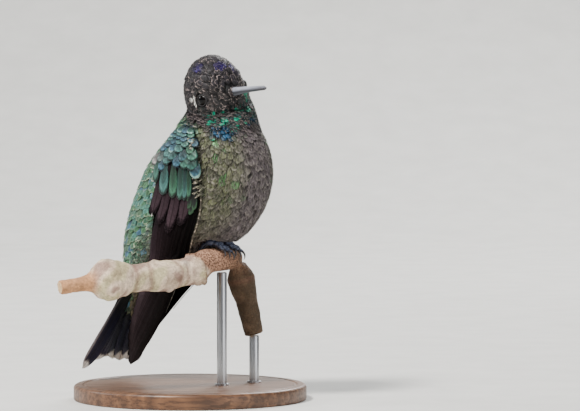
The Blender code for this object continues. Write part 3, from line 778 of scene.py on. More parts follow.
BACK_GREEN = rgb(62, 104, 72)
BACK_TURQUOISE = rgb(66, 116, 104)
BACK_BLUE = rgb(62, 102, 132)
BACK_OLIVE = rgb(96, 110, 86)
OLIVE = rgb(98, 102, 72)
BREAST_GREEN = rgb(66, 124, 70)
BELLY_GREY = rgb(112, 102, 104)
BELLY_DARK = rgb(50, 46, 52)
VENT_GREY = rgb(104, 98, 78)
CROWN_BROWN = rgb(31, 27, 32)
CROWN_VIOLET = rgb(38, 22, 80)
FACE_BROWN = rgb(30, 26, 27)
FLECK_GREY = rgb(88, 80, 80)
GORGET_DARK = rgb(36, 36, 38)
GORGET_TEAL = rgb(20, 62, 62)
GORGET_TURQUOISE = rgb(0, 176, 138)
GORGET_BLUE = rgb(6, 58, 86)
PALE_BUFF = rgb(172, 154, 150)
PALE_GREY = rgb(152, 144, 136)
PALE_GREEN = rgb(176, 190, 160)
SILVER = rgb(214, 202, 200)
WHITE = rgb(238, 236, 230)

# Patches of the plumage, as (place, turn in degrees, reach in millimetres). Those of the gorget, throat
# and crown are a young male's iridescent feathers, painted in the bright colour of their glint.
GORGET_GLINTS = (
    (11.67, 141, 1.0), (10.75, 147, 0.8), (9.2, 160, 0.8), (8.67, 162, 0.7), (10.17, -140, 0.8),
    (8.33, -111, 0.7), (8.5, -122, 0.7), (8.49, -141, 1.1), (8.66, -165, 0.8), (9.9, 176, 0.5),
)
THROAT_BLUE_GLINTS = (
    (7.74, -117, 1.5), (7.5, -126, 1.5), (7.58, -138, 1.7), (7.83, -132, 1.8), (7.75, -152, 1.2),
    (8.42, 165, 1.3), (8.1, 179, 0.9),
)
SILVER_PATCHES = ((5.34, -57, 2.2), (4.9, -62, 1.8), (5.34, 57, 2.2), (4.9, 62, 1.8))
PALE_FLECKS = ((11.2, -138, 0.9), (10.9, -132, 0.8), (11.2, 138, 0.9), (10.9, 132, 0.8))
CROWN_VIOLET_GLINTS = ((13.42, -44, 1.9), (14.69, 13, 1.7), (14.25, 69, 1.6), (12.2, 12, 1.7))


def from_back(turn):
    """Degrees from the middle of the back to either side, 0 to 180."""
    return np.abs(np.mod(turn + 0.5, 1.0) - 0.5) * 360


def mixed(first, second, share):
    """Each row goes from the first colour to the second by its share."""
    return between(first, second, np.asarray(share, float)[..., None])


def clouds(points, scale, seed):
    """Smooth noise from 0 to 1 at each point, lumps about scale millimetres across."""
    shift = Vector((seed * 7.1, seed * 3.3, seed * 5.7))
    return np.array([0.5 + 0.5 * noise.noise(Vector(point / scale) + shift) for point in points])


def near_patches(points, patches):
    """1 inside any of the patches, falling to 0 just outside."""
    found = np.zeros(len(points))
    for place, angle, reach in patches:
        middle = BODY.point(place, angle / 360)
        far = np.linalg.norm(points - middle, axis=1)
        found = np.maximum(found, fade(far, reach * 0.75, reach * 1.15))
    return found


class Plumage:
    """The tint, shine, edge and edge strength of each feather, into which regions are blended in turn."""

    def __init__(self, tint, shine, edge, strength):
        self.tint, self.shine, self.edge, self.strength = tint, shine, edge, strength

    def lay(self, share, tint=None, shine=None, edge=None, strength=None):
        """Blends new values in by a share. What isn't given stays."""
        if tint is not None:
            self.tint = mixed(self.tint, tint, share)
        if edge is not None:
            self.edge = mixed(self.edge, edge, share)
        if shine is not None:
            self.shine = between(self.shine, shine, share)
        if strength is not None:
            self.strength = between(self.strength, strength, share)


def body_markings(place, turn, points, seed):
    """(tint with its shine, edge with its strength) of the plumage at these places, one row each."""
    rng = np.random.default_rng(seed)
    count = len(place)
    angle = from_back(turn)
    chance = rng.random(count)
    lumps = clouds(points, 5.0, seed)
    fine = clouds(points, 2.2, seed + 1)

    back = mixed(BACK_GREEN, BACK_TURQUOISE, smooth_step(fine + 0.5 * chance, 0.55, 0.95))
    back = mixed(back, BACK_BLUE, (chance > 0.91) * 0.8)
    back = mixed(back, BACK_OLIVE, 0.45 * smooth_step(lumps, 0.5, 0.7))
    coat = Plumage(back, 0.45, PALE_GREEN, 0.8)

    olive = fade(angle + 16 * (lumps - 0.5), 138, 164)
    olive = olive * (0.45 + 0.55 * smooth_step(place, 2.5, 5.0))
    under = mixed(BELLY_GREY, OLIVE, olive)
    under = mixed(under, BELLY_DARK, smooth_step(fine, 0.5, 0.75) * 0.5)
    glint = (chance > 0.92) * smooth_step(place, 4.6, 6.0) * fade(angle, 150, 172)
    under = mixed(under, BREAST_GREEN, glint * 0.75)
    under = mixed(under, VENT_GREY, fade(place, 0.6, 2.2))
    flank = 84 + 28 * fade(place, 1.0, 3.5)
    coat.lay(smooth_step(angle, flank, flank + 16), under, 0.12 + 0.5 * glint, PALE_GREY, 0.5)
    coat.lay(near_patches(points, SILVER_PATCHES) * (chance > 0.2), edge=SILVER, strength=1.4)

    nape = smooth_step(place + 0.8 * (fine - 0.5) + 0.7 * smooth_step(angle, 50, 80), 8.1, 9.0)
    nape_tint = mixed(CROWN_BROWN, BACK_GREEN, (chance > 0.8) * 0.6 * (angle < 62))
    coat.lay(nape, nape_tint, 0.15, PALE_BUFF, 0.5)

    gorget_start = 7.3 + 0.9 * smooth_step(angle, 130, 172) + 0.5 * fade(angle, 96, 112)
    gorget = smooth_step(place, gorget_start - 0.25, gorget_start + 0.2) * smooth_step(angle, 96, 108)
    on_throat = smooth_step(angle, 106, 116) * fade(place, 10.2, 10.8)
    # Painted glints: iridescent feathers of the gorget and throat, in their bright colour.
    bright = np.maximum(near_patches(points, GORGET_GLINTS), (chance > 0.93) * on_throat)
    blue = near_patches(points, THROAT_BLUE_GLINTS)
    gorget_tint = mixed(GORGET_DARK, GORGET_TEAL, 0.8 * on_throat * (chance < 0.45))
    gorget_tint = mixed(gorget_tint, GORGET_TURQUOISE, bright * (chance > 0.25))
    gorget_tint = mixed(gorget_tint, GORGET_BLUE * (0.55 + 0.9 * fine[:, None]), blue * (chance > 0.15))
    lit = np.maximum(bright, blue)
    coat.lay(gorget, gorget_tint, 0.1 + 0.4 * lit, mixed(PALE_BUFF, GORGET_DARK, lit), 0.85 - 0.5 * lit)

    face = smooth_step(place, 10.2, 11.2) * smooth_step(angle, 78, 96) * fade(angle, 128, 142)
    coat.lay(face, FACE_BROWN, 0.06, strength=0.75)
    nostril = smooth_step(place, 14.9, 15.4) * bump_at(angle, 100, 55)
    fleck = np.maximum(near_patches(points, PALE_FLECKS) * (chance > 0.3), nostril)
    coat.lay(fleck, edge=PALE_GREY * 1.15, strength=1.0)
    coat.lay(0.6 * fleck, FLECK_GREY)

    crown = smooth_step(place, 10.4, 11.4) * fade(angle, 82, 96)
    # Painted glints: iridescent crown feathers, in their bright violet.
    violet = near_patches(points, CROWN_VIOLET_GLINTS)
    crown_tint = mixed(CROWN_BROWN, CROWN_VIOLET, violet * (chance > 0.2))
    coat.lay(crown, crown_tint, 0.15 + 0.3 * violet, strength=0.75 - 0.6 * violet)

    strength = coat.strength * rng.uniform(0.1, 1.0, count) ** 2 * 1.6
    variety = 0.32 + 0.22 * smooth_step(place, 8.0, 9.5)
    tint = coat.tint * (1 + variety * rng.uniform(-1, 1, count))[:, None]
    return with_share(tint, coat.shine.clip(0, 1)), with_share(coat.edge, strength.clip(0, 1))


# Skin and body coat ----------------------------------------------------------------------------------


def far_from_eyes(points):
    """Millimetres to the nearer eye's middle."""
    middles = [BODY.point(*eye) for eye in EYES.values()]
    return np.minimum(*[np.linalg.norm(points - middle, axis=-1) for middle in middles])


def coat_depth(place):
    return between(COAT_DEPTH, FACE_DEPTH, smooth_step(place, 10.0, 13.5))


def add_skin():
    """One closed skin from the tail coverts to the bill, under the coat, sunk a little round the eyes."""
    rows = np.linspace(-0.1, LAST_PLACE, 210)
    a, b = np.meshgrid(rows, np.arange(SKIN_COLUMNS) / SKIN_COLUMNS, indexing="ij")
    points = BODY.point(a, b)
    sunk = coat_depth(a) + SOCKET_DEPTH * fade(far_from_eyes(points), 1.4, 2.8)
    points = points - BODY.normal(a, b) * sunk[..., None]
    poles = [points[0].mean(axis=0), points[-1].mean(axis=0)]
    points = points.reshape(-1, 3)
    tint, edge = body_markings(a.reshape(-1), b.reshape(-1), points, 5)
    unwrapped = np.stack([b, (a - rows[0]) / (rows[-1] - rows[0])], axis=-1).reshape(-1, 2)

    points = np.concatenate([points, poles])
    look = feather_look("skin_down")
    skin = add_mesh("skin", points, poled_tube(len(rows), SKIN_COLUMNS), look)
    set_colours(skin, tint=np.concatenate([tint, tint[[0, -1]]]) * (0.4, 0.4, 0.4, 1))
    set_colours(skin, edge=np.concatenate([edge, edge[[0, -1]]]) * (1, 1, 1, 0))
    set_maps(skin, OFBake=np.concatenate([unwrapped, [[0.5, 0.0], [0.5, 1.0]]]), vane=PLAIN_VANE)
    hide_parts("rump", "belly", "breast", "neck", "head")


ROW_SPACES = {  # by place along the body
    -1: 2.4, 1: 1.9, 3: 1.5, 7: 1.35, 8.6: 1.1, 11: 1.25, 13: 1.4, 15: 1.2, 16: 0.62,
}


def feather_size(place, turn):
    """How far apart the rows of the body's feathers lie."""
    size = np.interp(place, list(ROW_SPACES), list(ROW_SPACES.values()))
    angle = from_back(turn)
    crown = smooth_step(place, 10.6, 12.0) * fade(place, 14.6, 15.6)
    crown = crown * fade(angle, 66, 100)
    near_eye = fade(far_from_eyes(BODY.point(place, turn)), 1.8, 5.5)
    gorget = smooth_step(place, 7.8, 8.6) * fade(place, 13.6, 14.6)
    gorget = gorget * smooth_step(angle, 100, 116)
    breast = smooth_step(angle, 92, 104) * smooth_step(place, 0.5, 1.5) * fade(place, 6.6, 7.6)
    back = fade(angle, 80, 96) * fade(place, 6.0, 7.4)
    return size * (1 + 0.05 * crown + 0.25 * breast + 0.2 * back - 0.3 * gorget) * (1 - 0.55 * near_eye)


def feather_space(place, turn):
    return feather_size(place, turn) * 1.12


def clear_of_eyes(place, turn, size):
    """Whether a feather rooted here, pointing to the tail, leaves the eyes and their lids free."""
    free = np.ones(len(place), bool)
    down, across = BODY.scale(place, turn)
    length, width = FEATHER_LENGTH * size / down, FEATHER_WIDTH * size / across
    for share in (0.0, 0.4, 0.7, 1.0):
        for side in (-0.45, 0.0, 0.45):
            free &= far_from_eyes(BODY.point(place - share * length, turn + side * width)) > EYE_OPENING
    return free


COAT_PIECES = {  # name: (slot, lowest and highest place, least and most degrees from the back)
    "coat_crown": ("crown_feathers", (10.8, 99), (0, 96)),
    "coat_gorget": ("gorget_feathers", (7.6, 99), (96, 181)),
    "coat_back": ("back_feathers", (-9, 10.8), (0, 84)),
    "coat_breast": ("breast_feathers", (4.6, 10.8), (84, 181)),
    "coat_belly": ("belly_feathers", (-9, 4.6), (84, 181)),
}
UNDER_LOOK = {"base": 0.6, "rim_start": 0.6}
COAT_LOOKS = {
    "coat_crown": {"base": 0.2, "whole_rim": 0.35, "rim_start": 0.84, "ragged": 0.08},
    "coat_breast": UNDER_LOOK,
    "coat_belly": UNDER_LOOK,
}


def add_body_coat():
    def keep(place, turn):
        return clear_of_eyes(place, turn, feather_size(place, turn))

    roots = shingle(BODY, -0.45, LAST_PLACE - 0.05, feather_size, feather_space, keep, seed=11)
    angle = from_back(roots[:, 1])
    left = np.ones(len(roots), bool)
    for seed, (name, (slot, places, angles)) in enumerate(COAT_PIECES.items(), 20):
        here = left & (roots[:, 0] >= places[0]) & (roots[:, 0] < places[1])
        here &= (angle >= angles[0]) & (angle < angles[1])
        left &= ~here
        chosen = roots[here]
        size = feather_size(*chosen.T)
        soft = name == "coat_belly"
        rng = np.random.default_rng(seed + 100)
        high = rng.uniform(-0.06, 0.08 if name in ("coat_belly", "coat_breast") else 0.14, len(chosen))
        if name == "coat_crown":
            high += 0.26 * (rng.random(len(chosen)) > 0.8)
        vanes = Vanes(
            BODY, chosen, FINE, size * FEATHER_LENGTH, size * (1.5 if soft else FEATHER_WIDTH),
            -coat_depth(chosen[:, 0]), high, seed,
            turn=rng.normal(0, 0.16 if soft else 0.1, len(chosen)), ragged=0.1 if soft else 0.05,
            thick=0.05, camber=0.05,
        )
        look = feather_look(name + "_look", **COAT_LOOKS.get(name, {"base": 0.22}))
        vanes.build(name, look, slot, *vanes.markings(seed))


def even_space(space):
    return lambda place, turn: np.full(np.shape(place), space)


def add_filaments():
    """Loose pale barbs that soften the breast, belly and nape."""
    def keep(place, turn):
        angle = from_back(turn)
        return (angle > 88) & (place < 8.0 + 0.6 * np.sin(9 * turn * 2 * math.pi))

    roots = shingle(BODY, 0.3, 9.0, even_space(0.56), even_space(0.56), keep, seed=31, jitter=0.45)
    count = len(roots)
    rng = np.random.default_rng(32)
    size = 0.55 + 0.45 * fade(roots[:, 0], 6, 10)
    vanes = Vanes(
        BODY, roots, HAIR, size * rng.uniform(1.2, 2.6, count), rng.uniform(0.1, 0.19, count),
        -0.2, rng.uniform(0.05, 0.38, count), 33, turn=rng.normal(0, 0.38, count), thick=0.04, camber=0.0,
    )
    tint, edge = vanes.markings(34)
    tint = with_share(mixed(tint[:, :3], PALE_GREY, rng.uniform(0.0, 0.85, count)), 0.05)
    vanes.build("coat_filaments", feather_look("coat_filaments_look"), "belly_feathers", tint, edge)


def add_face_barbs():
    """Short hair-like barbs between the feathers of the head and neck, some of them pale at the tip."""
    def keep(place, turn):
        return clear_of_eyes(place, turn, 0.62)

    roots = shingle(BODY, 7.9, LAST_PLACE - 0.1, even_space(0.6), even_space(0.6), keep, seed=36, jitter=0.4)
    count = len(roots)
    rng = np.random.default_rng(37)
    vanes = Vanes(
        BODY, roots, HAIR, rng.uniform(0.7, 1.5, count), rng.uniform(0.1, 0.2, count), -0.15,
        rng.uniform(0.08, 0.3, count), 38, turn=rng.normal(0, 0.4, count), thick=0.04, camber=0.0,
    )
    tint, edge = vanes.markings(39)
    below = smooth_step(from_back(vanes.shown_b), 84, 104)
    pale = rng.random(count) < 0.13 + 0.17 * below
    pale_tint = mixed(PALE_BUFF, PALE_GREY, rng.random(count))
    tint = with_share(np.where(pale[:, None], pale_tint, tint[:, :3] * 1.15), 0.05)
    vanes.build("coat_face_barbs", feather_look("coat_face_barbs_look"), "crown_feathers", tint, edge)


# Eyes ------------------------------------------------------------------------------------------------

EYE_SIDES = 48
EYE_RINGS = 31
PUPIL_EDGE = (0.87, 0.9)  # heights on the ball, in radii, between which the iris turns into the pupil
LID_SIDES = 72
LID_STRETCH = 0.035  # toward the bill and the nape
LID_FOLDS = 18
LID_FOLD_DEPTH = 0.008
IRIS = rgb(15, 11, 10)
PUPIL = rgb(4, 4, 5)
LID_PROFILE = (  # (reach from the eye's axis, height from its centre) round the lid's section
    (1.5, 1.54), (1.52, 1.67), (1.6, 1.75), (1.71, 1.74),
    (1.85, 1.63), (2.03, 1.36), (2.16, 0.95), (1.72, 0.65),
)


def eye_axes(side):
    """(middle of the face's surface at the eye, outward, toward the bill, upward)."""
    middle, outward = BODY.point(*EYES[side]), BODY.normal(*EYES[side])
    forward = head_to_world((30.0, 0.0, -2.4)) - middle
    forward = unit(forward - outward * (forward @ outward))
    upward = np.cross(outward, forward)
    head_up = head_to_world((0.0, 0.0, 10.0)) - head_to_world((0.0, 0.0, 0.0))
    return middle, outward, forward, upward * math.copysign(1, upward @ head_up)


def add_eye(side, looks):
    middle, outward, forward, upward = eye_axes(side)
    centre = middle - outward * (EYE_RADIUS - EYE_PROUD)
    polar = np.linspace(0, math.pi, EYE_RINGS + 2)[1:-1]
    spine = centre + np.outer(EYE_RADIUS * np.cos(polar), outward)
    rings = rings_round(spine, forward, upward, EYE_RADIUS * np.sin(polar), EYE_SIDES)
    poles = [centre + outward * EYE_RADIUS, centre - outward * EYE_RADIUS]
    points = np.concatenate([rings.reshape(-1, 3), poles])
    ball = add_mesh(f"eyeball_{side}", points, poled_tube(len(rings), EYE_SIDES), looks["eye"])
    height = ((points - centre) @ outward) / EYE_RADIUS
    set_colours(ball, tint=with_share(mixed(IRIS, PUPIL, smooth_step(height, *PUPIL_EDGE)), 1.0))
    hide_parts(f"eye_{side}")

    turns = np.arange(LID_SIDES) * 2 * math.pi / LID_SIDES
    oval = 1 + LID_STRETCH * np.cos(2 * turns) + LID_FOLD_DEPTH * np.sin(LID_FOLDS * turns)
    reach, height = np.array(LID_PROFILE).T
    spine = centre + np.outer(height, outward)
    fold = rings_round(spine, forward, upward, np.outer(reach, oval), LID_SIDES)
    faces = grid_faces(len(fold) + 1, LID_SIDES, wraps=True) % (len(fold) * LID_SIDES)
    add_mesh(f"eyelid_{side}", fold, faces, looks["lid"])


def add_eye_spot(side):
    """The small white spot of feathers just behind the eye."""
    sign = -1 if side == "right" else 1
    rng = np.random.default_rng(41)
    share = np.linspace(0, 1, 14)
    line = np.stack([11.95 - 0.85 * share, sign * (93 + 10.5 * share) / 360], axis=1)
    patch = np.stack([rng.uniform(11.2, 11.5, 12), sign * rng.uniform(88, 94, 12) / 360], axis=1)
    roots = np.concatenate([line, patch])
    count = len(roots)
    vanes = Vanes(BODY, roots, SMALL, 0.9, 0.44, -0.05, 0.2, 42, turn=rng.normal(0, 0.3, count), thick=0.04)
    look = feather_look(f"eye_spot_{side}_look", shaft=0.0)
    tint, edge = with_share(WHITE, 0.0), with_share(WHITE, 0.3)
    vanes.build(f"eye_spot_{side}", look, "crown_feathers", tint, edge)


# Bill ------------------------------------------------------------------------------------------------

BILL_LENGTH = 22.8
BILL_START = -2.6  # inside the face
BILL_ROOT = np.array((12.0, 0.0, -3.2))
BILL_DROOP = 0.5
BILL_SIDES = 20
BILL_TIP = 2.2  # the length with closer rings
BILL_ROUNDING = 1.5  # the length that rounds off
BILL_WIDTHS = (1.34, 0.62)  # half the width, at the root and at the tip
UPPER_DEPTH = 1.34  # of each mandible at the root
LOWER_DEPTH = 1.2
BILL_DEPTH_LOSS = 0.68
NOSTRIL_AT = 2.2
NOSTRIL_REACH = 2.6
NOSTRIL_TURN = 0.75
NOSTRIL_DEPTH = 0.16
BILL_GREY = rgb(82, 84, 94)
# The painted sheen along the mandibles' outer sides.
BILL_SHEEN = rgb(158, 162, 174)
SLEEVE_SIDES = 24
SLEEVE_REACH = (-1.6, 3.6)  # of the surface that carries the feathers, from the bill's root
SLEEVE_ROWS = np.arange(-1.5, 1.3, 0.34)
SLEEVE_FEATHERS = 22  # in a row
POINT_REACH = 1.2
POINT_TURN = 0.21  # from the top of the bill, where the feathers reach furthest


def bill_half(upper):
    """Closed rings of one mandible from its root: a rounded back and a flat cutting edge."""
    side = 1 if upper else -1
    angles = np.linspace(0, math.pi, BILL_SIDES)
    straight = np.linspace(BILL_START, BILL_LENGTH - BILL_TIP, 44)
    reach = np.concatenate([straight, BILL_LENGTH - BILL_TIP * (1 - np.linspace(0.12, 1, 9)) ** 2])[:, None]
    share = np.maximum(reach, 0) / BILL_LENGTH
    half_width = between(*BILL_WIDTHS, share**0.55)
    half_depth = (UPPER_DEPTH if upper else LOWER_DEPTH) - BILL_DEPTH_LOSS * share**0.5
    past = np.maximum(reach - (BILL_LENGTH - BILL_ROUNDING), 0) / BILL_ROUNDING
    closing = np.sqrt(np.maximum(1 - past**2, 0.08**2))
    ridge = 1 + 0.1 * np.sin(angles) ** 8
    height = 0.03 + half_depth * closing * np.abs(np.sin(angles)) ** 0.9 * ridge
    if upper:
        from_nostril = np.stack([(angles % math.pi) - NOSTRIL_TURN, math.pi - angles - NOSTRIL_TURN])
        groove = bump_at(reach, NOSTRIL_AT, NOSTRIL_REACH) * bell(from_nostril, 0.18).sum(axis=0)
        height -= NOSTRIL_DEPTH * groove
    across = half_width * closing * np.cos(angles)
    rise = side * height - BILL_DROOP * share**2
    return np.stack([np.broadcast_to(reach, across.shape), across, rise], axis=-1)


def add_bill(looks):
    for name, upper in (("bill_upper", True), ("bill_lower", False)):
        rings = bill_half(upper)
        local = rings.reshape(-1, 3)
        share = (local[:, 0] / BILL_LENGTH).clip(0, 1)
        # Painted light: each mandible is painted lighter away from the gape as a painted sheen, and the
        # lower mandible darker as painted shade.
        top = smooth_step(np.abs(local[:, 2] + BILL_DROOP * share**2), 0.1, 0.9)
        pale = mixed(BILL_GREY, BILL_SHEEN, top) * (1.0 if upper else 0.45)
        dark = rgb(58, 56, 64) if upper else rgb(50, 48, 54)
        tint = mixed(pale, dark, 0.75 * smooth_step(share, 0.55, 1.0) * (1 - 0.6 * top))
        points = head_to_world(BILL_ROOT + local)
        faces = capped_tube(len(rings), BILL_SIDES)
        piece = add_mesh(name + "_horn", points, faces, looks["bill"])
        set_colours(piece, tint=with_share(tint, 1.0))
        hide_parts(name)


def add_bill_feathers():
    """The face's last feathers, which run over the bill's base and stop in a point beside each nostril."""
    reaches = np.linspace(*SLEEVE_REACH, 10)
    half = 1.4 - 0.1 * reaches.clip(0)
    spine = BILL_ROOT + np.outer(reaches, (1, 0, 0))
    rings = head_to_world(rings_round(spine, (0, 0, 1), (0, 1, 0), half, SLEEVE_SIDES))
    sleeve = Surface(rings, reaches[0], reaches[-1], True, head_to_world(BILL_ROOT + (1.0, 0.0, 0.0)))
    rng = np.random.default_rng(51)
    roots = []
    for row, reach in enumerate(SLEEVE_ROWS):
        for turn in (np.arange(SLEEVE_FEATHERS) + 0.5 * (row % 2)) / SLEEVE_FEATHERS:
            from_point = abs(abs((turn + 0.5) % 1 - 0.5) - POINT_TURN)
            if reach < POINT_REACH - 6.0 * from_point:
                roots.append((reach + rng.normal(0, 0.08), turn + rng.normal(0, 0.008)))
    roots = np.array(roots)
    count = len(roots)
    vanes = Vanes(
        sleeve, roots, SMALL, 1.25, 0.62, -0.15, rng.uniform(0.08, 0.26, count), 52, onward=1,
        turn=rng.normal(0, 0.22, count), ragged=0.06, thick=0.04, camber=0.05,
    )
    pale = rng.random(count) > 0.62
    tint = np.where(pale[:, None], rgb(96, 88, 88), FACE_BROWN) * rng.uniform(0.5, 1.4, (count, 1))
    edge = with_share(np.where(pale[:, None], SILVER, PALE_BUFF * 0.7), np.where(pale, 0.95, 0.2))
    look = feather_look("bill_feathers_look", shaft=0.1, rim_start=0.66)
    vanes.build("bill_feathers", look, "crown_feathers", with_share(tint, 0.05), edge)


# Wings -----------------------------------------------------------------------------------------------

WING_FRONT = (
    (0.2, 13.2, 36.6), (2.8, 14.4, 29.0), (3.3, 14.2, 20.0), (1.4, 13.2, 12.5), (-3.4, 10.8, 4.6),
    (-9.0, 7.6, -3.8), (-14.6, 5.0, -12.5), (-20.2, 3.4, -21.3), (-26.4, 2.6, -28.6), (-31.9, 2.3, -33.6),
)
WING_REAR = (
    (-8.4, 11.0, 37.4), (-13.4, 12.0, 30.0), (-14.0, 12.2, 19.4), (-16.6, 11.6, 9.0), (-18.9, 10.2, 0.0),
    (-22.5, 8.0, -7.5), (-27.8, 5.6, -14.5), (-32.0, 3.8, -22.0), (-34.0, 2.7, -28.6), (-35.3, 2.3, -33.6),
)
WING_BULGE = 1.4
WING_BULGE_LOSS = 0.6
WING_THICKNESS = (1.5, 0.6)  # of the solids, at the shoulder and at the tip
WING_HUG = (0.25, 0.6)  # the wing lies on the body before this share of its length, and is free after it
WING_CLEARANCE = 0.45
LEFT_WING_DRAW_IN = np.array((-6.4, -1.7, 1.0))
LEFT_WING_REAR_SHARE = 0.25
LEFT_WING_DRAW_START = 0.3
WING_GRID = (90, 41)
WING_CORE_END = 0.86  # where the solid part under the flight feathers stops
WING_RIM = (0.24, 0.72)  # where the pale leading edge shows
WING_RIM_RADIUS = 0.17
WING_RIM_RINGS = 90
WING_RIM_SIDES = 8
WING_FRINGE_END = 0.22
WING_FRINGE_FEATHERS = 80
WING_PARTS = ("coverts", "secondaries", "primaries", "tip")

COVERT_TURQUOISE = rgb(66, 112, 108)
COVERT_BLUE = rgb(56, 94, 114)
COVERT_GREEN = rgb(58, 106, 80)
COVERT_EDGE = rgb(10, 14, 17)
COVERT_PALE_EDGE = rgb(130, 168, 158)
SECONDARY_BROWN = rgb(62, 49, 55)
PRIMARY_BROWN = rgb(24, 21, 21)
LEADING_EDGE = rgb(200, 184, 164)
PRIMARY_EDGE = (*rgb(52, 44, 45), 0.35)  # with its strength
SECONDARY_EDGE = (*rgb(12, 9, 11), 1.0)

SECONDARY_TIPS = ((0.35, 0.68), (0.368, 0.44), (0.33, 0.22), (0.292, 0.05))  # (a, b), front to rear
GREATER_COVERTS = (  # (a, b) of the tip and the width in millimetres, rear to front
    ((0.19, 0.06), 3.2), ((0.227, 0.25), 4.2), ((0.238, 0.46), 3.6), ((0.246, 0.61), 3.0),
    ((0.248, 0.7), 2.4), ((0.243, 0.78), 2.2),
)
PRIMARY_COVERTS = (((0.31, 0.83), 2.3), ((0.292, 0.88), 2.1), ((0.282, 0.78), 2.5), ((0.262, 0.72), 2.5))


def body_tree():
    """The body's outline in bird axes, without the clearance for the branch, for the wings to lie on."""
    turns = np.arange(60) / 60
    rings = np.array([body_ring(place, turns) for place in np.linspace(0, LAST_PLACE, 70)])
    faces = grid_faces(*rings.shape[:2], wraps=True)
    return BVHTree.FromPolygons(rings.reshape(-1, 3).tolist(), faces.tolist())


def wing_surface(sign):
    """The wing's outer face: a runs from the shoulder to the tip, b from the rear edge to the front."""
    tree = body_tree()
    rows, columns = WING_GRID
    inner = np.zeros((rows, columns, 3))
    for row, a in enumerate(np.linspace(0, 1, rows)):
        place = a * (len(WING_FRONT) - 1)
        draw_in = LEFT_WING_DRAW_IN * smooth_step(a, LEFT_WING_DRAW_START, 1.0) * (sign > 0)
        front = along(WING_FRONT, place) + draw_in
        rear = along(WING_REAR, place) + LEFT_WING_REAR_SHARE * draw_in
        for column, b in enumerate(np.linspace(0, 1, columns)):
            point = between(rear, front, b)
            point[1] += WING_BULGE * 4 * b * (1 - b) * (1 - WING_BULGE_LOSS * a)
            hit = tree.ray_cast((point[0], -60.0, point[2]), (0, 1, 0))[0]
            if hit is not None:
                on_body = WING_CLEARANCE - hit.y
                point[1] = max(between(on_body, point[1], smooth_step(a, *WING_HUG)), on_body)
            inner[row, column] = point * (1, sign, 1)
    across_the_bird = bird_to_world((0.0, -sign * 1000.0, 0.0))
    return Surface(bird_to_world(inner), 0.0, 1.0, False, across_the_bird)


def add_wing_core(side, surface, look):
    """The arm and the stacked quills that carry the feathers, thinner and shorter than the solids."""
    a, b = np.meshgrid(np.linspace(0.012, WING_CORE_END, 60), np.linspace(0.04, 0.96, 18), indexing="ij")
    b = 0.5 + (b - 0.5) * (1 - 0.35 * smooth_step(a, 0.5, 1.0))
    points, normals = surface.point(a, b), surface.normal(a, b)
    middle = (1 - np.abs(b - 0.5) * 2).clip(0, 1)
    thick = 0.5 * between(*WING_THICKNESS, a) * (0.3 + 0.7 * np.sqrt(middle))
    thick *= (1 - 0.9 * smooth_step(a, 0.2, 0.5)) * (0.3 + 0.7 * smooth_step(a, 0.0, 0.2))
    inner = points + normals * 0.02
    outer = points + normals * (0.04 + thick)[..., None]
    quads = grid_faces(*a.shape)
    number = np.arange(a.size).reshape(a.shape)
    border = np.concatenate([number[:, 0], number[-1, 1:], number[-2::-1, -1], number[0, -2:0:-1]])
    onward = np.roll(border, -1)
    walls = np.stack([border, onward, onward + a.size, border + a.size], axis=1)
    faces = np.concatenate([quads[:, ::-1], quads + a.size, walls])
    core = add_mesh(f"wing_{side}_core", [inner, outer], faces, look)
    set_colours(core, tint=(*PRIMARY_BROWN * 0.5, 0.05), edge=(0, 0, 0, 0))
    places = np.stack([b, a], axis=-1).reshape(-1, 2) * (0.5, 1)
    set_maps(core, OFBake=np.concatenate([places, places + (0.5, 0)]), vane=PLAIN_VANE)
    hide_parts(*[f"wing_{side}_{part}" for part in WING_PARTS])


class Quills:
    """Long feathers laid along a surface, each from a root to a tip along a curve of (a, b)."""

    def __init__(self, surface, rows=26, columns=9):
        self.surface, self.grid = surface, (rows, columns)
        self.points, self.tints, self.edges, self.bake = [], [], [], []

    def lay(
        self, root, tip, width, height, tint, edge, seed,
        bow=0.0, lean=0.1, tip_start=0.82, camber=0.12, pointed=1.0, curl=0.12,
    ):
        """root and tip are (a, b), and height is that of each.

        bow bends the middle in b, lean moves the shaft to the front edge, curl draws the tip's corners back.
        """
        template = Template(*self.grid, tip_start, 0.45)
        x, y = template.x, template.y
        a = between(root[0], tip[0], y)
        b = between(root[1], tip[1], y) + bow * 4 * y * (1 - y)
        half = width / 2 * np.repeat(template.outline**pointed, len(template.columns))
        across = x * half * (1 - np.copysign(lean, x))
        swept = -curl * width * x**2 * np.clip((y - tip_start) / (1 - tip_start), 0, 1)
        scale_a, scale_b = self.surface.scale(a, b)
        a = a + swept / scale_a
        b = b + across / scale_b
        rise = between(*height, y) + camber * (0.5 - x**2)
        points, normals = self.surface.point(a, b), self.surface.normal(a, b)
        shaft = 0.1 * bell(x, 0.1) * (1 - y) ** 0.5
        body = 0.11 * np.sqrt((1 - x**2).clip(0, 1)) * np.minimum((1 - y) * 6, 1) + shaft
        top, under = (points + normals * (rise + part)[:, None] for part in (body, -body))
        self.points.append(template.doubled(top, under))
        variety = np.random.default_rng(seed + 500).uniform(0.88, 1.14)
        self.tints.append(np.array(tint) * (variety, variety, variety, 1))
        self.edges.append(edge)
        self.bake.append(np.clip((root[1], root[0]), 0.01, 0.99) + (template.places() - 0.5) * PATCH)

    def build(self, name, look, slot):
        tints, edges = np.array(self.tints)[:, None], np.array(self.edges)[:, None]
        Template(*self.grid).piece(name, self.points, look, slot, tints, edges, self.bake)


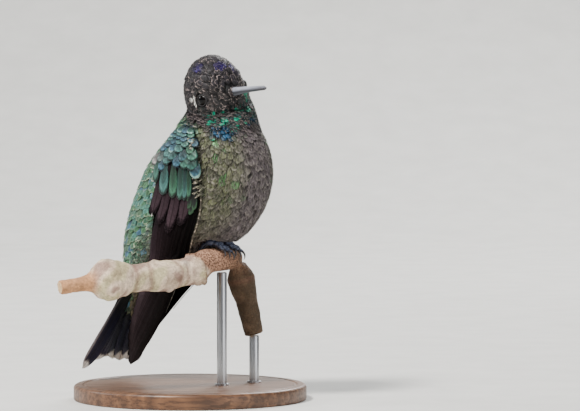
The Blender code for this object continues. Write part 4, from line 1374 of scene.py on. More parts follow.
def add_primaries(side, surface, look):
    """Ten primaries: the outermost is longest and lies lowest, and each next one covers its inner web."""
    quills = Quills(surface)
    for number in range(10):
        quills.lay(
            root=(0.2, 0.9 - 0.065 * number),
            tip=(1.0 - 0.045 * number, 0.12 + 0.42 * (1 - min(number, 3) / 3) ** 1.5),
            width=4.6 + 0.1 * number, height=(0.1 + 0.055 * number, 0.1 + 0.05 * number),
            tint=(*between(PRIMARY_BROWN, SECONDARY_BROWN, number / 11), 0.06), edge=PRIMARY_EDGE,
            seed=number, bow=0.1 - 0.015 * number, lean=0.4, tip_start=0.92,
        )
    quills.build(f"wing_{side}_primary_feathers", look, "flight_feathers")


def add_secondaries(side, surface, look):
    """Four short secondaries over the primaries, the hindmost with a pale dot at its tip."""
    quills = Quills(surface)
    for number, tip in enumerate(SECONDARY_TIPS):
        low, high = 0.55 + 0.07 * number, 0.62 + 0.2 * number
        quills.lay(
            (0.12, 0.7 - 0.18 * number), tip, 4.6, (low, high), (*SECONDARY_BROWN, 0.12), SECONDARY_EDGE,
            20 + number, bow=0.02, tip_start=0.86, camber=0.35, pointed=0.9, curl=0.05,
        )
    a, b = tip
    dot = (*WHITE, 0.0)
    quills.lay(
        (a - 0.01, b), (a + 0.003, b - 0.004), 0.7, (high + 0.05, high + 0.1), dot, dot, 30 + number,
        lean=0.0, tip_start=0.5,
    )
    quills.build(f"wing_{side}_secondary_feathers", look, "flight_feathers")


def add_greater_coverts(side, surface, look):
    """Long rounded coverts over the secondaries' bases, and the primaries' own coverts in front."""
    quills = Quills(surface, rows=18)
    for number, ((a, b), width) in enumerate(GREATER_COVERTS):
        shade = between(COVERT_GREEN, COVERT_TURQUOISE, 0.5 + 0.5 * math.sin(2.1 * number)) * 0.8
        quills.lay(
            (a - 0.14, b + 0.02), (a, b), width, (0.8, 1.6 - 0.12 * number), (*shade, 0.3),
            (*rgb(14, 20, 18), 1.0), 40 + number, camber=0.3, curl=0.03,
        )
    for number, ((a, b), width) in enumerate(PRIMARY_COVERTS):
        quills.lay(
            (a - 0.14, b), (a, b), width, (0.4, 0.55 + 0.07 * number), (*rgb(18, 26, 22), 0.3),
            (*rgb(50, 88, 58), 0.7), 60 + number, tip_start=0.88, curl=0.03,
        )
    quills.build(f"wing_{side}_greater_coverts", look, "covert_feathers")


def add_small_coverts(side, surface, look, seed):
    """Rows of scale-like coverts from the shoulder down."""
    def shown(a, b):
        return 1.1 + 0.6 * smooth_step(a, -0.02, 0.06) + 3.0 * np.clip(a, 0, 0.2)

    def width(a, b):
        return 1.7 + 0.7 * smooth_step(a, -0.02, 0.06) + 3.0 * np.clip(a, 0, 0.2)

    def keep(a, b):
        return (b > 0.015) & (b < 0.985)

    roots = shingle(surface, -0.045, 0.105, shown, width, keep, seed, jitter=0.08)
    count = len(roots)
    rng = np.random.default_rng(seed)
    high = 0.78 + 0.5 * smooth_step(roots[:, 0], -0.02, 0.1)
    vanes = Vanes(
        surface, roots, FINE, shown(*roots.T) * 2.4, width(*roots.T) * 1.4, high - 0.5, high + 0.3, seed + 1,
        onward=1, turn=rng.normal(0, 0.09, count) - 0.4 * (1 - roots[:, 1]), ragged=0.02, camber=0.09,
    )
    a, b = vanes.shown_a, vanes.shown_b
    chance = rng.random(count)
    green = smooth_step(b, 0.35, 0.85) * 0.7 + chance * 0.4 - 0.1
    tint = mixed(COVERT_TURQUOISE, COVERT_GREEN, green.clip(0, 1))
    blue = smooth_step(clouds(vanes.shown_points, 3.5, seed) + 0.3 * chance, 0.62, 0.76) * (a < 0.17)
    tint = mixed(tint, COVERT_BLUE, blue * 0.9)
    silver = fade(b, 0.02, 0.12) * (chance > 0.35) * smooth_step(a, 0.05, 0.09)
    tint = mixed(tint, SILVER * 0.8, silver * 0.75) * rng.uniform(0.72, 1.3, (count, 1))
    edge = with_share(mixed(COVERT_EDGE, COVERT_PALE_EDGE, chance > 0.85), 1.0)
    tint = with_share(tint, 0.4 - 0.2 * silver)
    vanes.build(f"wing_{side}_small_coverts", look, "covert_feathers", tint, edge)


def add_leading_edge(side, surface, look):
    """The pale outer web of the first primary, as a thin rim along the front of the closed wing."""
    share = np.linspace(0, 1, WING_RIM_RINGS)
    a = between(*WING_RIM, share)
    b = np.interp(a, (0.24, 0.4, 0.55, 0.72), (0.99, 1.0, 0.99, 0.93))
    outward = surface.normal(a, b)
    spine = surface.point(a, b) + outward * 0.28
    across = np.cross(unit(np.gradient(spine, axis=0)), outward)
    rings = rings_round(spine, across, outward, WING_RIM_RADIUS * (1 - 0.45 * share), WING_RIM_SIDES)
    faces = capped_tube(*rings.shape[:2])
    rim = add_mesh(f"wing_{side}_leading_edge", rings, faces, look)
    rng = np.random.default_rng(71)
    fleck = np.where(rng.random(len(a)) > 0.65, 1.3, 0.25) * (1 - 0.45 * smooth_step(a, 0.42, 0.5))
    fleck = np.repeat(fleck * (1 - 0.85 * smooth_step(a, 0.6, 0.7)), WING_RIM_SIDES)
    set_colours(rim, tint=with_share(LEADING_EDGE * fleck[:, None], 0.05), edge=(0, 0, 0, 0))
    set_maps(rim, vane=PLAIN_VANE)


def add_wing_fringe(side, sign, surface):
    """Pale-tipped flank feathers that lap over the upper front edge of the wing."""
    rng = np.random.default_rng(75)
    roots = []
    for a in WING_FRINGE_END * np.linspace(0, 1, WING_FRINGE_FEATHERS) ** 1.3:
        place, turn = BODY.nearest(surface.point(a, 1.0))
        scale = BODY.scale(place, turn)[1]
        roots.append((place + rng.normal(0, 0.05), turn + sign * rng.uniform(-0.3, 1.0) / scale))
    count = len(roots)
    vanes = Vanes(
        BODY, np.array(roots), SMALL, 2.2, 0.46, 0.2, rng.uniform(0.9, 1.9, count), 76,
        turn=-sign * rng.normal(0.75, 0.25, count), ragged=0.08, thick=0.05, camber=0.04,
    )
    tint = with_share(between(OLIVE, PALE_GREY, 0.2) * rng.uniform(0.35, 1.0, (count, 1)), 0.0)
    edge = with_share(rgb(206, 190, 172), 0.95)
    look = feather_look(f"wing_{side}_fringe_look", shaft=0.1, rim_start=0.74)
    vanes.build(f"wing_{side}_fringe", look, "breast_feathers", tint, edge)


def add_wings():
    small = feather_look(
        "covert_scales", barbs=20.0, shaft=0.15, relief=0.04, roughness=(0.55, 0.4),
        rim_start=0.7, crescent=0.4, whole_rim=0.8,
    )
    greater = feather_look(
        "greater_covert_vanes", barbs=60.0, shaft=0.3, relief=0.04, roughness=(0.55, 0.38),
        rim_start=0.74, crescent=0.45, whole_rim=0.8,
    )
    flight = feather_look(
        "flight_vanes", barbs=150.0, shaft=0.7, relief=0.03, roughness=(0.8, 0.6),
        rim_start=0.72, gloss=0.03, whole_rim=0.6,
    )
    rim = feather_look("leading_edge_look", barbs=1.0, shaft=0.0)
    core = feather_look("wing_core_look", barbs=1.0, shaft=0.0, roughness=(0.85, 0.7), gloss=0.03)
    for side, sign, seed in (("left", 1, 80), ("right", -1, 90)):
        surface = wing_surface(sign)
        add_wing_core(side, surface, core)
        add_primaries(side, surface, flight)
        add_secondaries(side, surface, flight)
        add_greater_coverts(side, surface, greater)
        add_small_coverts(side, surface, small, seed)
        add_leading_edge(side, surface, rim)
        add_wing_fringe(side, sign, surface)


# Tail ------------------------------------------------------------------------------------------------

TAIL_PIVOT = np.array((-27.3, 0.0, 4.6))
TAIL_FAN = math.radians(15.2)
TAIL_SWING = math.radians(-5)
TAIL_LENGTHS = {  # from the pivot, middle feather to outermost
    "left": (40.2, 40.6, 41.0, 40.6, 41.6),
    "right": (40.2, 40.6, 41.0, 40.6, 44.4),
}
TAIL_HALF_WIDTHS = (4.4, 4.3, 4.2, 4.0, 3.6)
TAIL_FEATHERS = len(TAIL_HALF_WIDTHS)  # on each side
TAIL_LAYER = 0.9  # between one feather and the next, under it
TAIL_START = 15.0  # from the pivot, under the coverts
TAIL_CURL = 1.1  # how far the outermost feathers' tips bend outward
TAIL_TIP_LENGTHS = (3.6, 3.8, 4.2, 4.8, 9.5)
TAIL_WHITE_LENGTHS = (1.6, 2.4, 2.6, 2.4, 2.0)  # of the white tip, middle feather to outermost
TAIL_BLACK = rgb(44, 47, 70)
TAIL_BASE_GREY = rgb(46, 54, 52)
TAIL_STRIPE = rgb(222, 212, 212)  # along the outermost feather's outer web
TAIL_EDGE = rgb(96, 90, 100)
TAIL_WHITE = rgb(252, 248, 240)
TAIL_TEMPLATE = Template(34, 13, bunching=1.25)


def tail_feather(side, number):
    """World points of one tail feather and each one's distance from the pivot."""
    straight = np.array((-math.sin(TAIL_LEAN), 0, -math.cos(TAIL_LEAN)))
    left = np.array((0.0, 1.0, 0.0))
    under = np.array((math.cos(TAIL_LEAN), 0, -math.sin(TAIL_LEAN)))
    middle_line = straight * math.cos(TAIL_SWING) + left * math.sin(TAIL_SWING)
    across = (left * math.cos(TAIL_SWING) - straight * math.sin(TAIL_SWING)) * (1 if side == "left" else -1)
    fan = TAIL_FAN * (number + 0.5) / (TAIL_FEATHERS - 0.5)
    shaft_line = middle_line * math.cos(fan) + across * math.sin(fan)
    outward = across * math.cos(fan) - middle_line * math.sin(fan)

    x, y = TAIL_TEMPLATE.x, TAIL_TEMPLATE.y
    length = TAIL_LENGTHS[side][number]
    distance = between(TAIL_START, length, y)
    to_tip = ((length - distance) / TAIL_TIP_LENGTHS[number]).clip(0.015, 1)
    width = TAIL_HALF_WIDTHS[number] * (0.5 + 0.5 * np.sqrt(y)) * np.sqrt(1 - (1 - to_tip) ** 2)
    inner = np.minimum(width, (distance * math.sin(fan) + 0.25 + 0.12 * number) / math.cos(fan))
    offset = np.where(x < 0, x * inner, x * width)
    if number == TAIL_FEATHERS - 1:
        offset = offset + TAIL_CURL * smooth_step(y, 0.7, 1.05)
    swept = distance - 0.4 * x**2 * (1 - to_tip)
    lens = np.sqrt((1 - x**2).clip(0, 1)) * np.minimum((1 - y) * 7, 1)
    rachis = 0.14 * bell(x, 0.09) * (1 - y) ** 0.4
    barbs = 0.012 * np.sin(150 * y - 9 * np.abs(x)) * (np.abs(x) < 0.95)
    thick = (0.13 + barbs) * lens + rachis
    depth = (number - (TAIL_FEATHERS - 1) / 2) * TAIL_LAYER - 0.35 * (1 - x**2) + 0.1
    base = TAIL_PIVOT + np.outer(swept, shaft_line) + np.outer(offset, outward)
    top, bottom = (base + np.outer(depth + part, under) for part in (-thick, thick))
    return bird_to_world(TAIL_TEMPLATE.doubled(top, bottom)), TAIL_TEMPLATE.doubled(distance)


def tail_colours(side, number, distance):
    """(tint with its shine, edge with its strength) of one tail feather's points."""
    x = TAIL_TEMPLATE.doubled(TAIL_TEMPLATE.x)
    white_start = TAIL_LENGTHS[side][number] - TAIL_WHITE_LENGTHS[number]
    white = smooth_step(distance + 0.7 * np.cos(3 * x), white_start - 0.5, white_start + 0.4)
    colour = mixed(TAIL_BASE_GREY, TAIL_BLACK, smooth_step(distance, TAIL_START + 4, TAIL_START + 12))
    colour = mixed(colour, TAIL_STRIPE, 0.8 * bump_at(x, 0.78, 0.24) * (number == TAIL_FEATHERS - 1))
    tint = with_share(mixed(colour, TAIL_WHITE, white), 0.4 * (1 - white))
    return tint, with_share(TAIL_EDGE, 0.25 * (1 - white))


def add_tail(look):
    """Ten tail feathers in a narrow fan, each with its shaft, two webs of unlike width and a white tip."""
    points, tints, edges, bake, nodes = [], [], [], [], []
    for number in range(TAIL_FEATHERS):
        for column, side in enumerate(("left", "right")):
            feather, distance = tail_feather(side, number)
            tint, edge = tail_colours(side, number, distance)
            points.append(feather)
            tints.append(tint)
            edges.append(edge)
            middle = (number + column * TAIL_FEATHERS + 0.5) / (2 * TAIL_FEATHERS)
            bake.append((middle, 0.02) + (TAIL_TEMPLATE.places() - (0.5, 0)) * (0.08, 0.96))
    tail = TAIL_TEMPLATE.piece("tail_vanes", points, look, "tail_feathers", tints, edges, bake)
    for side in ("left", "right"):
        nodes.extend(f"tail_feather_{side}_{number + 1}" for number in range(TAIL_FEATHERS))
    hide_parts(*nodes)


# Feet ------------------------------------------------------------------------------------------------

TOE_RADIUS = (0.72, 0.5)  # at the root and at the claw
TOE_SPREAD = (1.2, 2.9, 4.6)  # how far each front toe drifts along the branch
FRONT_TOE_ARC = (math.radians(91), math.radians(30))
TOE_BENDS = (0.12, 0.0, -0.1)  # how much further round each front toe stops
HIND_TOE = (0.3, math.radians(86), math.radians(178))  # (drift, start, end)
CLAW_ARC = math.radians(36)
TOE_RINGS = 84
TOE_SIDES = 16
TOE_END = 0.94  # where the toe's end starts to round off
SCUTES = 13
PADS = 5
KNUCKLE_RINGS = 14
SHANK_HEIGHT = 4.2
CLAW_RINGS = 22
CLAW_SIDES = 10
CLAW_RADIUS = 0.46
KNUCKLE_RADIUS = 1.15
SHANK_RADIUS = 0.82
FOOT_BLUE = rgb(34, 38, 58)
# The colour of the painted highlight on the scutes.
SCUTE_HIGHLIGHT = rgb(98, 108, 136)
SIDEWAYS = np.array((0.0, 1.0, 0.0))


def arc_round_branch(place, angle, reach):
    """(spine, outward) of a curve round the branch, in the bird's axes of forward and up."""
    outward = np.stack([np.cos(angle), np.zeros(len(angle)), np.sin(angle)], axis=-1)
    return outward * reach[:, None] + np.outer(np.broadcast_to(place, len(angle)), SIDEWAYS), outward


def toe_rings(place, drift, start, end):
    """Rings of one toe with scutes over its back and pads below, and how much painted highlight each point
    has.
    """
    share = np.linspace(0, 1, TOE_RINGS)
    radius = between(*TOE_RADIUS, share)
    radius *= 1 - 0.1 * np.cos(share * 2 * math.pi * 3.5) * (share > 0.05)
    past = ((share - TOE_END) / 0.07).clip(0)
    radius *= np.sqrt(1 - past**2)
    upward = circle(TOE_SIDES)[1]
    ridge = np.abs(np.sin(share * math.pi * SCUTES))
    pads = np.outer(np.abs(np.cos(share * math.pi * PADS)), (-upward).clip(0))
    reach = radius[:, None] * (1 + 0.12 * np.outer(ridge, upward.clip(0)) + 0.08 * pads)
    angle = between(start, end, share)
    spine, outward = arc_round_branch(place + drift * share, angle, BRANCH_RADIUS + 0.2 + radius)
    rings = rings_round(spine, SIDEWAYS, outward, reach, TOE_SIDES)
    # Painted highlight on the ridges of the scutes, on their upper side only.
    return rings, np.outer(smooth_step(ridge, 0.45, 0.95), smooth_step(upward.clip(0), 0.2, 0.9))


def leg_rings(place):
    """Rings of the round knuckle over the toes, and of the short shank above it."""
    top = BRANCH_RADIUS + 0.3 + TOE_RADIUS[0]
    step = np.linspace(0.02, math.pi - 0.02, KNUCKLE_RINGS)
    share = np.linspace(0, 1, KNUCKLE_RINGS)
    height = SHANK_HEIGHT * share
    forms = (
        (KNUCKLE_RADIUS * np.sin(step), np.cos(step), 0 * step),
        (SHANK_RADIUS * (0.95 + 0.06 * np.sin(30 * share)), height, -0.5 * height),
    )
    for radius, rise, lean in forms:
        spine = np.stack([lean, np.full(KNUCKLE_RINGS, place), top + rise], axis=-1)
        yield rings_round(spine, (1, 0, 0), SIDEWAYS, radius, TOE_SIDES)


def claw_rings(place, drift, start, end):
    """Rings of one claw, which goes on round the branch from the toe's end and turns down at its tip."""
    onward = math.copysign(1, end - start)
    share = np.linspace(0, 1, CLAW_RINGS)
    angle = end - onward * 0.06 + onward * CLAW_ARC * 1.05 * share
    reach = BRANCH_RADIUS + 0.62 + 0.55 * np.sin(math.pi * share) * (1 - 0.4 * share) - 0.62 * share**2
    spine, outward = arc_round_branch(place + drift * (1 + 0.28 * share), angle, reach)
    radius = CLAW_RADIUS * (1 - share) ** 0.8 + 0.03
    return rings_round(spine, 0.75 * SIDEWAYS, outward, radius, CLAW_SIDES)


def add_tubes(name, tubes, look):
    """One piece from several closed tubes, each given as its rings in the bird's axes."""
    starts = np.cumsum([0, *(rings.shape[0] * rings.shape[1] for rings in tubes)])
    faces = [face for rings, start in zip(tubes, starts) for face in capped_tube(*rings.shape[:2], start)]
    points = np.concatenate([rings.reshape(-1, 3) for rings in tubes])
    return add_mesh(name, bird_to_world(points), faces, look)


def add_foot(side, place, looks):
    start, end = FRONT_TOE_ARC
    toes = [(drift, start, end + bend) for drift, bend in zip(TOE_SPREAD, TOE_BENDS)] + [HIND_TOE]
    tubes, scute_highlights = zip(*(toe_rings(place, *toe) for toe in toes))
    legs = tuple(leg_rings(place))
    foot = add_tubes(f"foot_{side}_scales", tubes + legs, looks["foot"])
    # Painted highlight: the scutes' upper sides are painted lighter; the knuckles and shanks take a quarter
    # of that colour all over.
    pale = np.concatenate([*map(np.ravel, scute_highlights), np.full(len(legs) * KNUCKLE_RINGS * TOE_SIDES, 0.25)])
    set_colours(foot, tint=with_share(mixed(FOOT_BLUE, SCUTE_HIGHLIGHT, 0.75 * pale), 1.0))
    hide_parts(f"foot_{side}")
    claws = add_tubes(f"claws_{side}", [claw_rings(place, *toe) for toe in toes], looks["claw"])
    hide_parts(*[f"claw_{side}_{number}" for number in range(1, 5)])


# Perch -----------------------------------------------------------------------------------------------

PERCH_POINTS = {  # ((x, y, z) from the grip's middle, radius)
    "elbow_end": ((5.0, 6.0, -2.6), 1.5),
    "elbow": ((3.1, 3.7, -0.5), 3.6),
    "left_grip": ((0.9, 1.1, -0.1), 3.85),
    "right_grip": ((-4.4, -5.2, -0.7), 3.85),
    "node": ((-8.2, -9.2, -2.8), 4.5),
    "after_node": ((-11.6, -12.0, -3.5), 4.2),
    "middle": ((-18.6, -17.0, -4.3), 4.6),
    "before_knob": ((-26.5, -21.2, -4.6), 4.2),
    "knob": ((-33.8, -24.4, -4.9), 6.4),
    "after_knob": ((-39.6, -27.2, -5.6), 2.6),
    "cut_end": ((-47.5, -30.6, -6.6), 2.2),
}
DOWN_STEM_POINTS = (
    ((4.9, 5.8, -2.4), 2.6), ((5.9, 6.8, -6.6), 4.2), ((7.6, 7.6, -14.0), 3.5), ((9.8, 8.6, -23.4), 3.0),
)
PERCH_AT = {name: number for number, name in enumerate(PERCH_POINTS)}
BARK_GRIP = rgb(192, 146, 118)
BARK_SHADED = rgb(104, 76, 54)
BARK_PALE = rgb(232, 208, 182)
BARK_GREEN = rgb(200, 196, 138)
BARK_ROSE = rgb(150, 118, 108)
BARK_RING = rgb(134, 100, 88)
BARK_STEM = rgb(198, 146, 104)
# The down stem's brown bark, darkened as painted shade.
DOWN_STEM_BARK_AND_SHADE = rgb(76, 61, 44)
BARK_SCAR = rgb(104, 74, 58)
BARK_BUD = rgb(226, 212, 196)
PERCH_SIDES = 28
PERCH_VOXEL = 0.34
PERCH_UNDERSIZE = 0.12  # how much thinner the shape is, as the bark's relief adds to it
PERCH_BANDS = (("middle", -0.55), ("middle", 0.5), ("before_knob", 0.0), ("after_node", 0.15))  # dark rings
PERCH_BUDS = (  # (point, places past it, turn round the branch)
    ("middle", -0.4, -1.2), ("middle", 0.35, 1.9), ("after_node", 0.1, 0.9),
    ("knob", 0.0, 1.3), ("knob", 0.1, -0.9),
)


def perch_path(rows, steps):
    """(places, points in the world, radii) of a smooth line through rows of (point, radius)."""
    table = [(*point, radius) for point, radius in rows]
    places = np.linspace(0, len(table) - 1, (len(table) - 1) * steps + 1)
    values = np.array([along(table, place) for place in places])
    return places, values[:, :3] + GRIP_POINT, values[:, 3]


def stem_rings(points, radii):
    """Rings round a bent line whose sides don't twist."""
    tangents = unit(np.gradient(points, axis=0))
    across = np.cross(tangents[0], (0, 0, 1))
    rings = []
    for point, tangent, radius in zip(points, tangents, radii):
        across = unit(across - tangent * (across @ tangent))
        rings.append(rings_round(point[None], across, np.cross(tangent, across), radius, PERCH_SIDES)[0])
    return np.array(rings)


def perch_guide():
    """The branch and its down stem as one object, from two tubes joined by a voxel remesh."""
    mesh = bpy.data.meshes.new("perch_shape")
    shell = bmesh.new()
    for rows in (PERCH_POINTS.values(), DOWN_STEM_POINTS):
        _, points, radii = perch_path(rows, 8)
        rings = stem_rings(points, radii - PERCH_UNDERSIZE)
        corners = [shell.verts.new(point) for point in rings.reshape(-1, 3) * MM]
        for face in capped_tube(len(rings), PERCH_SIDES):
            shell.faces.new([corners[index] for index in face])
    bmesh.ops.recalc_face_normals(shell, faces=shell.faces)
    shell.to_mesh(mesh)
    shell.free()
    guide = add_object("perch_guide", mesh)
    remesh = guide.modifiers.new("one wood", "REMESH")
    remesh.mode = "VOXEL"
    remesh.voxel_size = PERCH_VOXEL * MM
    smooth = guide.modifiers.new("soft joint", "SMOOTH")
    smooth.iterations = 3
    return guide


def perch_shape():
    """(points, normals, faces) of the bare wood."""
    guide = perch_guide()
    evaluated = guide.evaluated_get(bpy.context.evaluated_depsgraph_get())
    made = bpy.data.meshes.new_from_object(evaluated)
    bpy.data.objects.remove(guide)
    points, normals = np.empty((2, len(made.vertices) * 3))
    made.vertices.foreach_get("co", points)
    made.vertices.foreach_get("normal", normals)
    faces = [list(polygon.vertices) for polygon in made.polygons]
    bpy.data.meshes.remove(made)
    return points.reshape(-1, 3) / MM, normals.reshape(-1, 3), faces


def nearest_place(points, path):
    """Index of the nearest path point to each of the points, and how far it is."""
    best, found = np.full(len(points), 1e9), np.zeros(len(points), int)
    for number, middle in enumerate(path):
        far = np.linalg.norm(points - middle, axis=1)
        closer = far < best
        best[closer], found[closer] = far[closer], number
    return found, best


def perch_buds(points, places, path, radii):
    """How much of a bud is at each point, from 0 to 1."""
    buds = np.zeros(len(points))
    for number, (name, shift, turn) in enumerate(PERCH_BUDS):
        spot = PERCH_AT[name] + shift
        centre = np.array([np.interp(spot, places, path[:, axis]) for axis in range(3)])
        reach = np.interp(spot, places, radii)
        bud = centre + reach * np.array((0.3 * math.sin(number), -math.cos(turn), math.sin(turn)))
        buds = np.maximum(buds, bell(np.linalg.norm(points - bud, axis=1), 1.25))
    return buds


class Bark:
    """The branch's marks at each point: where it is along the wood, and the shares of its forms there."""

    def __init__(self, points):
        places, path, radii = perch_path(PERCH_POINTS.values(), 16)
        down_places, down_path, _ = perch_path(DOWN_STEM_POINTS, 16)
        on_main, far_main = nearest_place(points, path)
        on_down, far_down = nearest_place(points, down_path)
        place, at = places[on_main], PERCH_AT
        self.place = place
        self.is_down = smooth_step(far_main - far_down, -0.6, 1.2)
        on_branch = 1 - self.is_down
        self.lumps = clouds(points, 3.4, 3) - 0.5
        self.grains = clouds(points, 0.9, 4) - 0.5
        self.blotch = clouds(points, 4.5, 8)
        self.lift = (points - path[on_main])[:, 2] / BRANCH_RADIUS
        pale_from = at["right_grip"] + 0.72 + 0.4 * self.lift
        self.pale = smooth_step(place, pale_from - 0.12, pale_from + 0.12) * on_branch
        self.gripped = bump_at(place, at["left_grip"] + 0.4, 1.3) * on_branch
        self.knobby = bump_at(place, at["knob"], 0.9) * on_branch
        self.scar = bell(place - at["node"] + 0.02 + 0.16 * self.lumps, 0.09) * on_branch
        collars = bell(place - at["before_knob"] - 0.25, 0.12) + bell(place - at["knob"] - 0.45, 0.1)
        self.collar = collars * on_branch
        self.joint = bell(down_places[on_down] - 1.0, 0.16) * self.is_down
        self.stem = smooth_step(place, at["knob"] + 0.5, at["after_knob"]) * on_branch
        self.buds = perch_buds(points, places, path, radii)
        self.ends = [(line[-1], unit(line[-1] - line[-2])) for line in (path, down_path)]

    def rise(self, points):
        """How far the bark stands over the bare wood."""
        rise = (0.5 + 0.9 * self.knobby) * self.lumps * (1 - 0.7 * self.gripped)
        rise += (0.16 + 0.1 * self.pale) * self.grains
        rise += 0.7 * self.knobby * (clouds(points, 1.9, 14) - 0.5)
        rise += 1.1 * self.scar * (0.2 + clouds(points, 1.1, 6))
        rise += 0.3 * self.collar + 0.35 * self.joint * (0.3 + self.lumps)
        return rise + 0.7 * self.buds

    def tint(self):
        """The colour of each point and, as a fourth value, its shine."""
        at, pale, blotch = PERCH_AT, self.pale, self.blotch
        shaded = fade(self.place + 0.3 * self.lift, at["elbow"] + 0.3, at["right_grip"] - 0.2)
        wavy = self.place + 0.12 * self.lumps
        bands = sum(bump_at(wavy, at[name] + shift, 0.16) for name, shift in PERCH_BANDS)
        scars = np.maximum(self.scar * (self.grains > -0.1), self.joint).clip(0, 1)
        tint = mixed(BARK_GRIP, BARK_SHADED, 0.8 * shaded)
        for colour, share in (
            (BARK_PALE, pale),
            (BARK_GREEN, pale * smooth_step(blotch, 0.5, 0.68) * 0.55),
            (BARK_ROSE, pale * fade(blotch, 0.32, 0.44) * 0.75),
            (BARK_RING, pale * (bands * 0.65).clip(0, 1)),
            (BARK_STEM, self.stem),
            # The down stem: its bark colour with painted shade.
            (DOWN_STEM_BARK_AND_SHADE, self.is_down),
            (BARK_SCAR, 0.8 * scars),
            (BARK_BUD, 0.6 * self.buds * pale),
        ):
            tint = mixed(tint, colour, share)
        return with_share(tint, (1 - 0.85 * pale) * (1 - 0.6 * self.is_down))


def add_perch(look, cut_look):
    points, normals, faces = perch_shape()
    bark = Bark(points)
    shaped = points + normals * bark.rise(points)[:, None]
    cut = np.zeros(len(points), bool)
    for end, direction in bark.ends:
        near_end = (np.linalg.norm(points - end, axis=1) < 5) & ((points - end) @ direction > -0.45)
        shaped[near_end] = points[near_end]
        cut |= near_end & (normals @ direction > 0.8)
    piece = add_mesh("perch_bark", shaped, faces, look)
    piece.data.materials.append(cut_look)
    on_cut = np.array([cut[face].all() for face in faces], np.int32)
    piece.data.polygons.foreach_set("material_index", on_cut)
    set_colours(piece, tint=bark.tint())
    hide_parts("perch_grip", "perch_middle", "perch_knob", "perch_stem", "perch_down_stem")


# Stand -----------------------------------------------------------------------------------------------

DISC_EDGE = 1.1  # radius of the base's rounded upper edge
DISC_FOOT = 0.5
DISC_GROOVE = ((-2.6, 0.0), (-2.9, -0.22), (-3.3, -0.22), (-3.6, 0.0))  # (reach past the rim, height)
ROD_COLLAR = ((0.7, 0.0), (0.7, 0.35), (0.5, 0.55), (0.0, 0.55))  # (reach past the rod, height)
ROD_CUP = ((0.0, -0.2), (-0.2, 0.15))  # (reach past the rod, height past the CAD's end)


def turned(name, middle, profile, sides, look):
    """A round piece on an upright axis from (radius, height) pairs, with a flat face at each end."""
    radius, height = np.array(profile).T
    spine = np.column_stack([np.tile(middle, (len(profile), 1)), height])
    rings = rings_round(spine, (1, 0, 0), SIDEWAYS, radius, sides)
    points = np.concatenate([rings.reshape(-1, 3), spine[[0, -1]]])
    piece = add_mesh(name, points, poled_tube(len(rings), sides), look)
    piece.data.set_sharp_from_angle(angle=math.radians(35))
    return piece


def shifted(pairs, reach, height):
    return [(reach + out, height + up) for out, up in pairs]


def add_stand(wood, metal):
    low, high = box_of("stand_base")
    radius, top = (high - low)[0] / 2, high[2]
    turns = np.linspace(math.pi / 2, 0, 9)
    eased = DISC_EDGE * np.column_stack([np.sin(turns), np.cos(turns)])
    eased = shifted(eased, radius - DISC_EDGE, top - DISC_EDGE)
    foot = [(radius - DISC_FOOT, 0.0), (radius - 0.15, 0.15), (radius, DISC_FOOT)]
    profile = foot + eased + shifted(DISC_GROOVE, radius, top)
    disc = turned("stand_disc", (low + high)[:2] / 2, profile, 160, wood)
    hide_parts("stand_base")
    for name in ("stand_rod_grip", "stand_rod_stem"):
        low, high = box_of(name)
        rod = (high - low)[0] / 2
        profile = shifted(ROD_COLLAR, rod, top) + shifted(ROD_CUP, rod, high[2])
        piece = turned(name + "_turned", (low + high)[:2] / 2, profile, 48, metal)
        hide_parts(name)


# Stage, camera and light -----------------------------------------------------------------------------

CAMERA_DISTANCE = 1.2
CAMERA_ANGLE = math.radians(3)  # how far it looks down
VIEW_WIDTH = 0.174  # metres seen across the picture at the bird's distance
SENSOR_WIDTH = 36.0
CAMERA_AIM = Vector((0.0300, 0.0, 0.0582))
CAMERA_BASE = Vector((0.0, 0.0, 0.0548))
LIGHT_AIM = Vector((0.0, 0.0, 0.06))
LIGHTS = {  # (place, size in metres, watts, colour)
    "key": ((-0.5, -0.56, 1.0), 0.26, 27.0, (1.0, 0.98, 0.95)),
    "fill": ((0.9, -0.8, 0.35), 0.7, 4.0, (0.95, 0.98, 1.0)),
    "rim": ((0.35, 0.8, 0.7), 0.4, 11.0, (1.0, 1.0, 1.0)),
    "side": ((-0.98, 0.27, 0.5), 0.3, 4.5, (0.96, 0.98, 1.0)),
}
FLOOR_HALF_WIDTH = 3.0
FLOOR_FRONT = -2.5
FLOOR_BEND = (0.7, 0.6)  # where the floor turns up, and the bend's radius
BACKDROP_TOP = 3.0


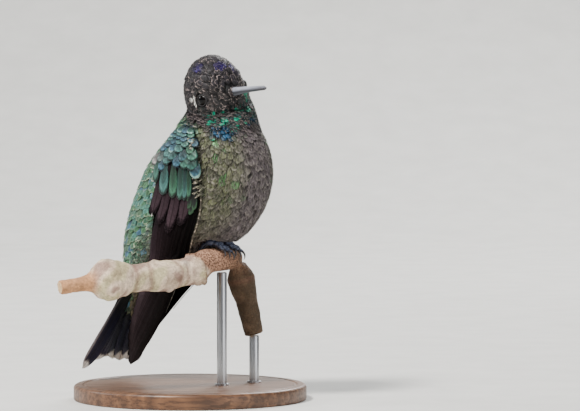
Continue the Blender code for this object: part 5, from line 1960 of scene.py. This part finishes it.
def add_stage(look):
    """A pale floor that turns up behind into a backdrop."""
    start, radius = FLOOR_BEND
    turns = np.linspace(0.1, math.pi / 2, 12)
    bend = [(start + radius * math.sin(turn), radius - radius * math.cos(turn)) for turn in turns]
    profile = [(FLOOR_FRONT, 0.0), (start, 0.0), *bend, (start + radius, BACKDROP_TOP)]
    points = [(side, *pair) for side in (-FLOOR_HALF_WIDTH, FLOOR_HALF_WIDTH) for pair in profile]
    mesh = bpy.data.meshes.new("floor")
    mesh.from_pydata(points, [], grid_faces(2, len(profile)).tolist())
    mesh.shade_smooth()
    mesh.materials.append(look)
    add_object("floor", mesh)


def aim(thing, target):
    direction = target - thing.location
    thing.rotation_euler = direction.to_track_quat("-Z", "Y").to_euler()


def add_camera():
    data = bpy.data.cameras.new("camera")
    data.sensor_width = SENSOR_WIDTH
    data.lens = SENSOR_WIDTH * CAMERA_DISTANCE / VIEW_WIDTH
    data.clip_start = 0.05
    camera = add_object("camera", data)
    back = Vector((0.0, -math.cos(CAMERA_ANGLE), math.sin(CAMERA_ANGLE)))
    camera.location = CAMERA_BASE + back * CAMERA_DISTANCE
    aim(camera, CAMERA_AIM)
    bpy.context.scene.camera = camera


def add_lights():
    for name, (place, size, watts, colour) in LIGHTS.items():
        data = bpy.data.lights.new(name, "AREA")
        data.shape = "DISK"
        data.size = size
        data.energy = watts
        data.color = colour
        light = add_object(name, data)
        light.location = place
        aim(light, LIGHT_AIM)
    world = bpy.data.worlds.new("studio")
    world.use_nodes = True
    background = world.node_tree.nodes["Background"]
    background.inputs["Color"].default_value = (0.86, 0.9, 0.94, 1.0)
    background.inputs["Strength"].default_value = 0.3
    bpy.context.scene.world = world


def build():
    looks = small_looks()
    add_skin()
    add_body_coat()
    add_filaments()
    add_face_barbs()
    for side in ("left", "right"):
        add_eye(side, looks)
        add_eye_spot(side)
    add_bill_feathers()
    add_bill(looks)
    add_wings()
    add_tail(feather_look("tail_vane_look", barbs=190.0, shaft=0.6, relief=0.03, roughness=(0.5, 0.34)))
    for side, place in FOOT_PLACES.items():
        add_foot(side, place, looks)
    add_perch(bark_look(), looks["cut_wood"])
    add_stand(stand_wood_look(), looks["metal"])
    add_stage(looks["floor"])
    add_camera()
    add_lights()


build()
